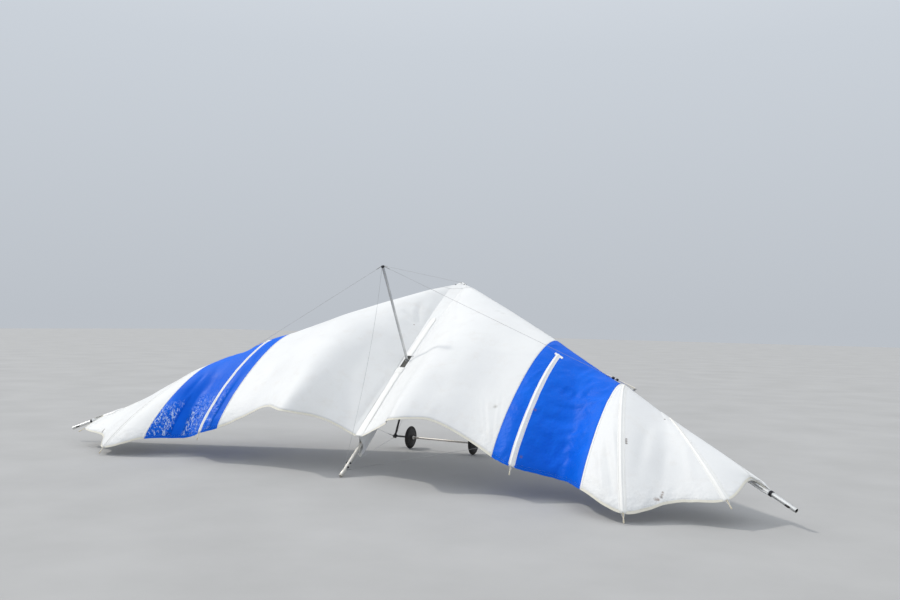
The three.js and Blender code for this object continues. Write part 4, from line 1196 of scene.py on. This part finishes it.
def make_hang_loop():
    """Folded webbing round the lower bar of its bracket, sewn together below it."""
    pivot = np.array(JOINT_PLACE["hang_loop_swing"])
    middle = LOOP_INSIDE + LOOP_THICK / 2
    down = np.linspace(0, LOOP_LENGTH, 28)[1:-1]
    squeezed = middle - 0.0045 * hump(down, 0.05, 0.12, 0.27, 0.31)
    over = np.linspace(math.pi, 0, 13)
    round_bar = middle * np.stack([np.cos(over), np.sin(over)], 1)
    front = np.stack([squeezed, -down], 1)
    path = np.concatenate([round_bar, front, -round_bar - (0, LOOP_LENGTH), (front * (-1, 1))[::-1]])
    tangent = np.roll(path, -1, 0) - np.roll(path, 1, 0)
    normal = unit(np.stack([-tangent[:, 1], tangent[:, 0]], 1))
    bevel = LOOP_HALF - 0.001
    x = np.array((-LOOP_HALF, -bevel, bevel, LOOP_HALF, LOOP_HALF, bevel, -bevel, -LOOP_HALF))
    level = np.array((0.35, 1, 1, 0.35, -0.35, -1, -1, -0.35)) * LOOP_THICK / 2
    y_z = path[:, None] + normal[:, None] * level[:, None]
    points = pivot + np.dstack([np.broadcast_to(x, y_z.shape[:2]), y_z])
    piece("hang_loop_webbing", [(points.reshape(-1, 3), ring_faces(len(path), len(x)))], "strap",
          "smooth", "hang_loop", ["hang_loop"])


# Finishes of the CAD nodes that stay: the first start of a name that fits, else dark
FINISHES = (("keel_", "keel"), ("leading_edge", "tube"), ("crossbar_left", "tube"),
            ("crossbar_right", "tube"), ("base_bar", "base_bar"), ("wire_top_side", "sleeve"),
            ("side_wire_tang", "steel"), ("wire", "steel"), ("hang_point_bracket", "steel"))


def finish_of(name):
    if name == "kingpost":
        return "kingpost"
    if name.startswith("wheel_collar") and name.endswith("inner"):
        return "collar"
    return next((finish for start, finish in FINISHES if name.startswith(start)), "dark")


def finish_cad_nodes():
    for name, thing in frame["nodes"].items():
        if thing.hide_render:
            continue
        thing.data.materials.clear()
        thing.data.materials.append(MATERIALS[finish_of(name)])
        sharpen(thing)


# The stage: sky colours by height, light and floor
SKY = ((0.0, (0.44, 0.47, 0.51)), (0.30, (0.52, 0.56, 0.61)), (1.0, (0.90, 0.94, 1.0)))
SKY_STRENGTH = 1.14
SUN_FROM = (-0.677, -0.063, 0.733)
SUN_STRENGTH = 1.38
SUN_COLOUR = (1.0, 0.965, 0.91)
SUN_ANGLE = math.radians(3.5)
FLOOR_SIZE = 160
FLOOR = ((0.3, (0.41, 0.405, 0.395)), (0.7, (0.46, 0.455, 0.445)))


def make_stage():
    """A plain pale floor under a pale sky, brighter overhead, like a large soft box, and a low sun."""
    bpy.ops.mesh.primitive_grid_add(x_subdivisions=40, y_subdivisions=40, size=FLOOR_SIZE)
    floor = bpy.context.active_object
    floor.name = "floor"
    material, tree = new_material("floor_finish")
    tree.shade(Base_Color=tree.ramp(tree.noise(0.8, 8.0), *FLOOR), Roughness=0.9)
    floor.data.materials.append(material)
    bpy.context.scene.view_settings.view_transform = "Standard"
    world = bpy.data.worlds.new("studio")
    bpy.context.scene.world = world
    sky = Tree(world)
    height = sky.split(sky.coordinate("Generated"))["Z"]
    sky.feed_all(sky.nodes["Background"], {"Color": sky.ramp(height, *SKY), "Strength": SKY_STRENGTH})
    sun = bpy.data.lights.new("sun", "SUN")
    sun.energy, sun.angle, sun.color = SUN_STRENGTH, SUN_ANGLE, SUN_COLOUR
    add_object("sun", sun).rotation_euler = Vector(SUN_FROM).to_track_quat("Z", "Y").to_euler()


# The camera of the photograph, solved together with the glider
CAMERA_FROM_AXLE = (5.5206, -9.9719, 1.7363)
CAMERA_YAW = math.radians(28.5762)
CAMERA_PITCH = math.radians(1.3616)
CAMERA_ROLL = math.radians(1.0639)
FOCAL_PIXELS = 858.135
PHOTO_WIDTH = 900
SENSOR_WIDTH = 36


def make_camera():
    camera = bpy.data.cameras.new("camera")
    camera.sensor_width = SENSOR_WIDTH
    camera.lens = SENSOR_WIDTH * FOCAL_PIXELS / PHOTO_WIDTH
    camera.clip_end = 400
    holder = add_object("camera", camera)
    ahead = Vector((-math.sin(CAMERA_YAW) * math.cos(CAMERA_PITCH),
                    math.cos(CAMERA_YAW) * math.cos(CAMERA_PITCH), math.sin(CAMERA_PITCH)))
    level = Vector((math.cos(CAMERA_YAW), math.sin(CAMERA_YAW), 0))
    upright = level.cross(ahead)
    right = level * math.cos(CAMERA_ROLL) + upright * math.sin(CAMERA_ROLL)
    turn = Matrix((right, right.cross(ahead), -ahead)).transposed().to_4x4()
    place_at = Vector((CAMERA_FROM_AXLE[0], AXLE[1] + CAMERA_FROM_AXLE[1], CAMERA_FROM_AXLE[2]))
    holder.matrix_world = Matrix.Translation(place_at) @ turn
    bpy.context.scene.camera = holder


make_camera()
make_marks()
make_sail()
make_seams()
make_battens()
make_keel_strip()
make_slot_cover()
make_slot_patch()
make_keel_pocket()
make_tips()
make_wire_clips()
make_nose()
make_fitting_bolts()
make_tail()
make_wheels()
make_hang_loop()
finish_cad_nodes()
make_stage()
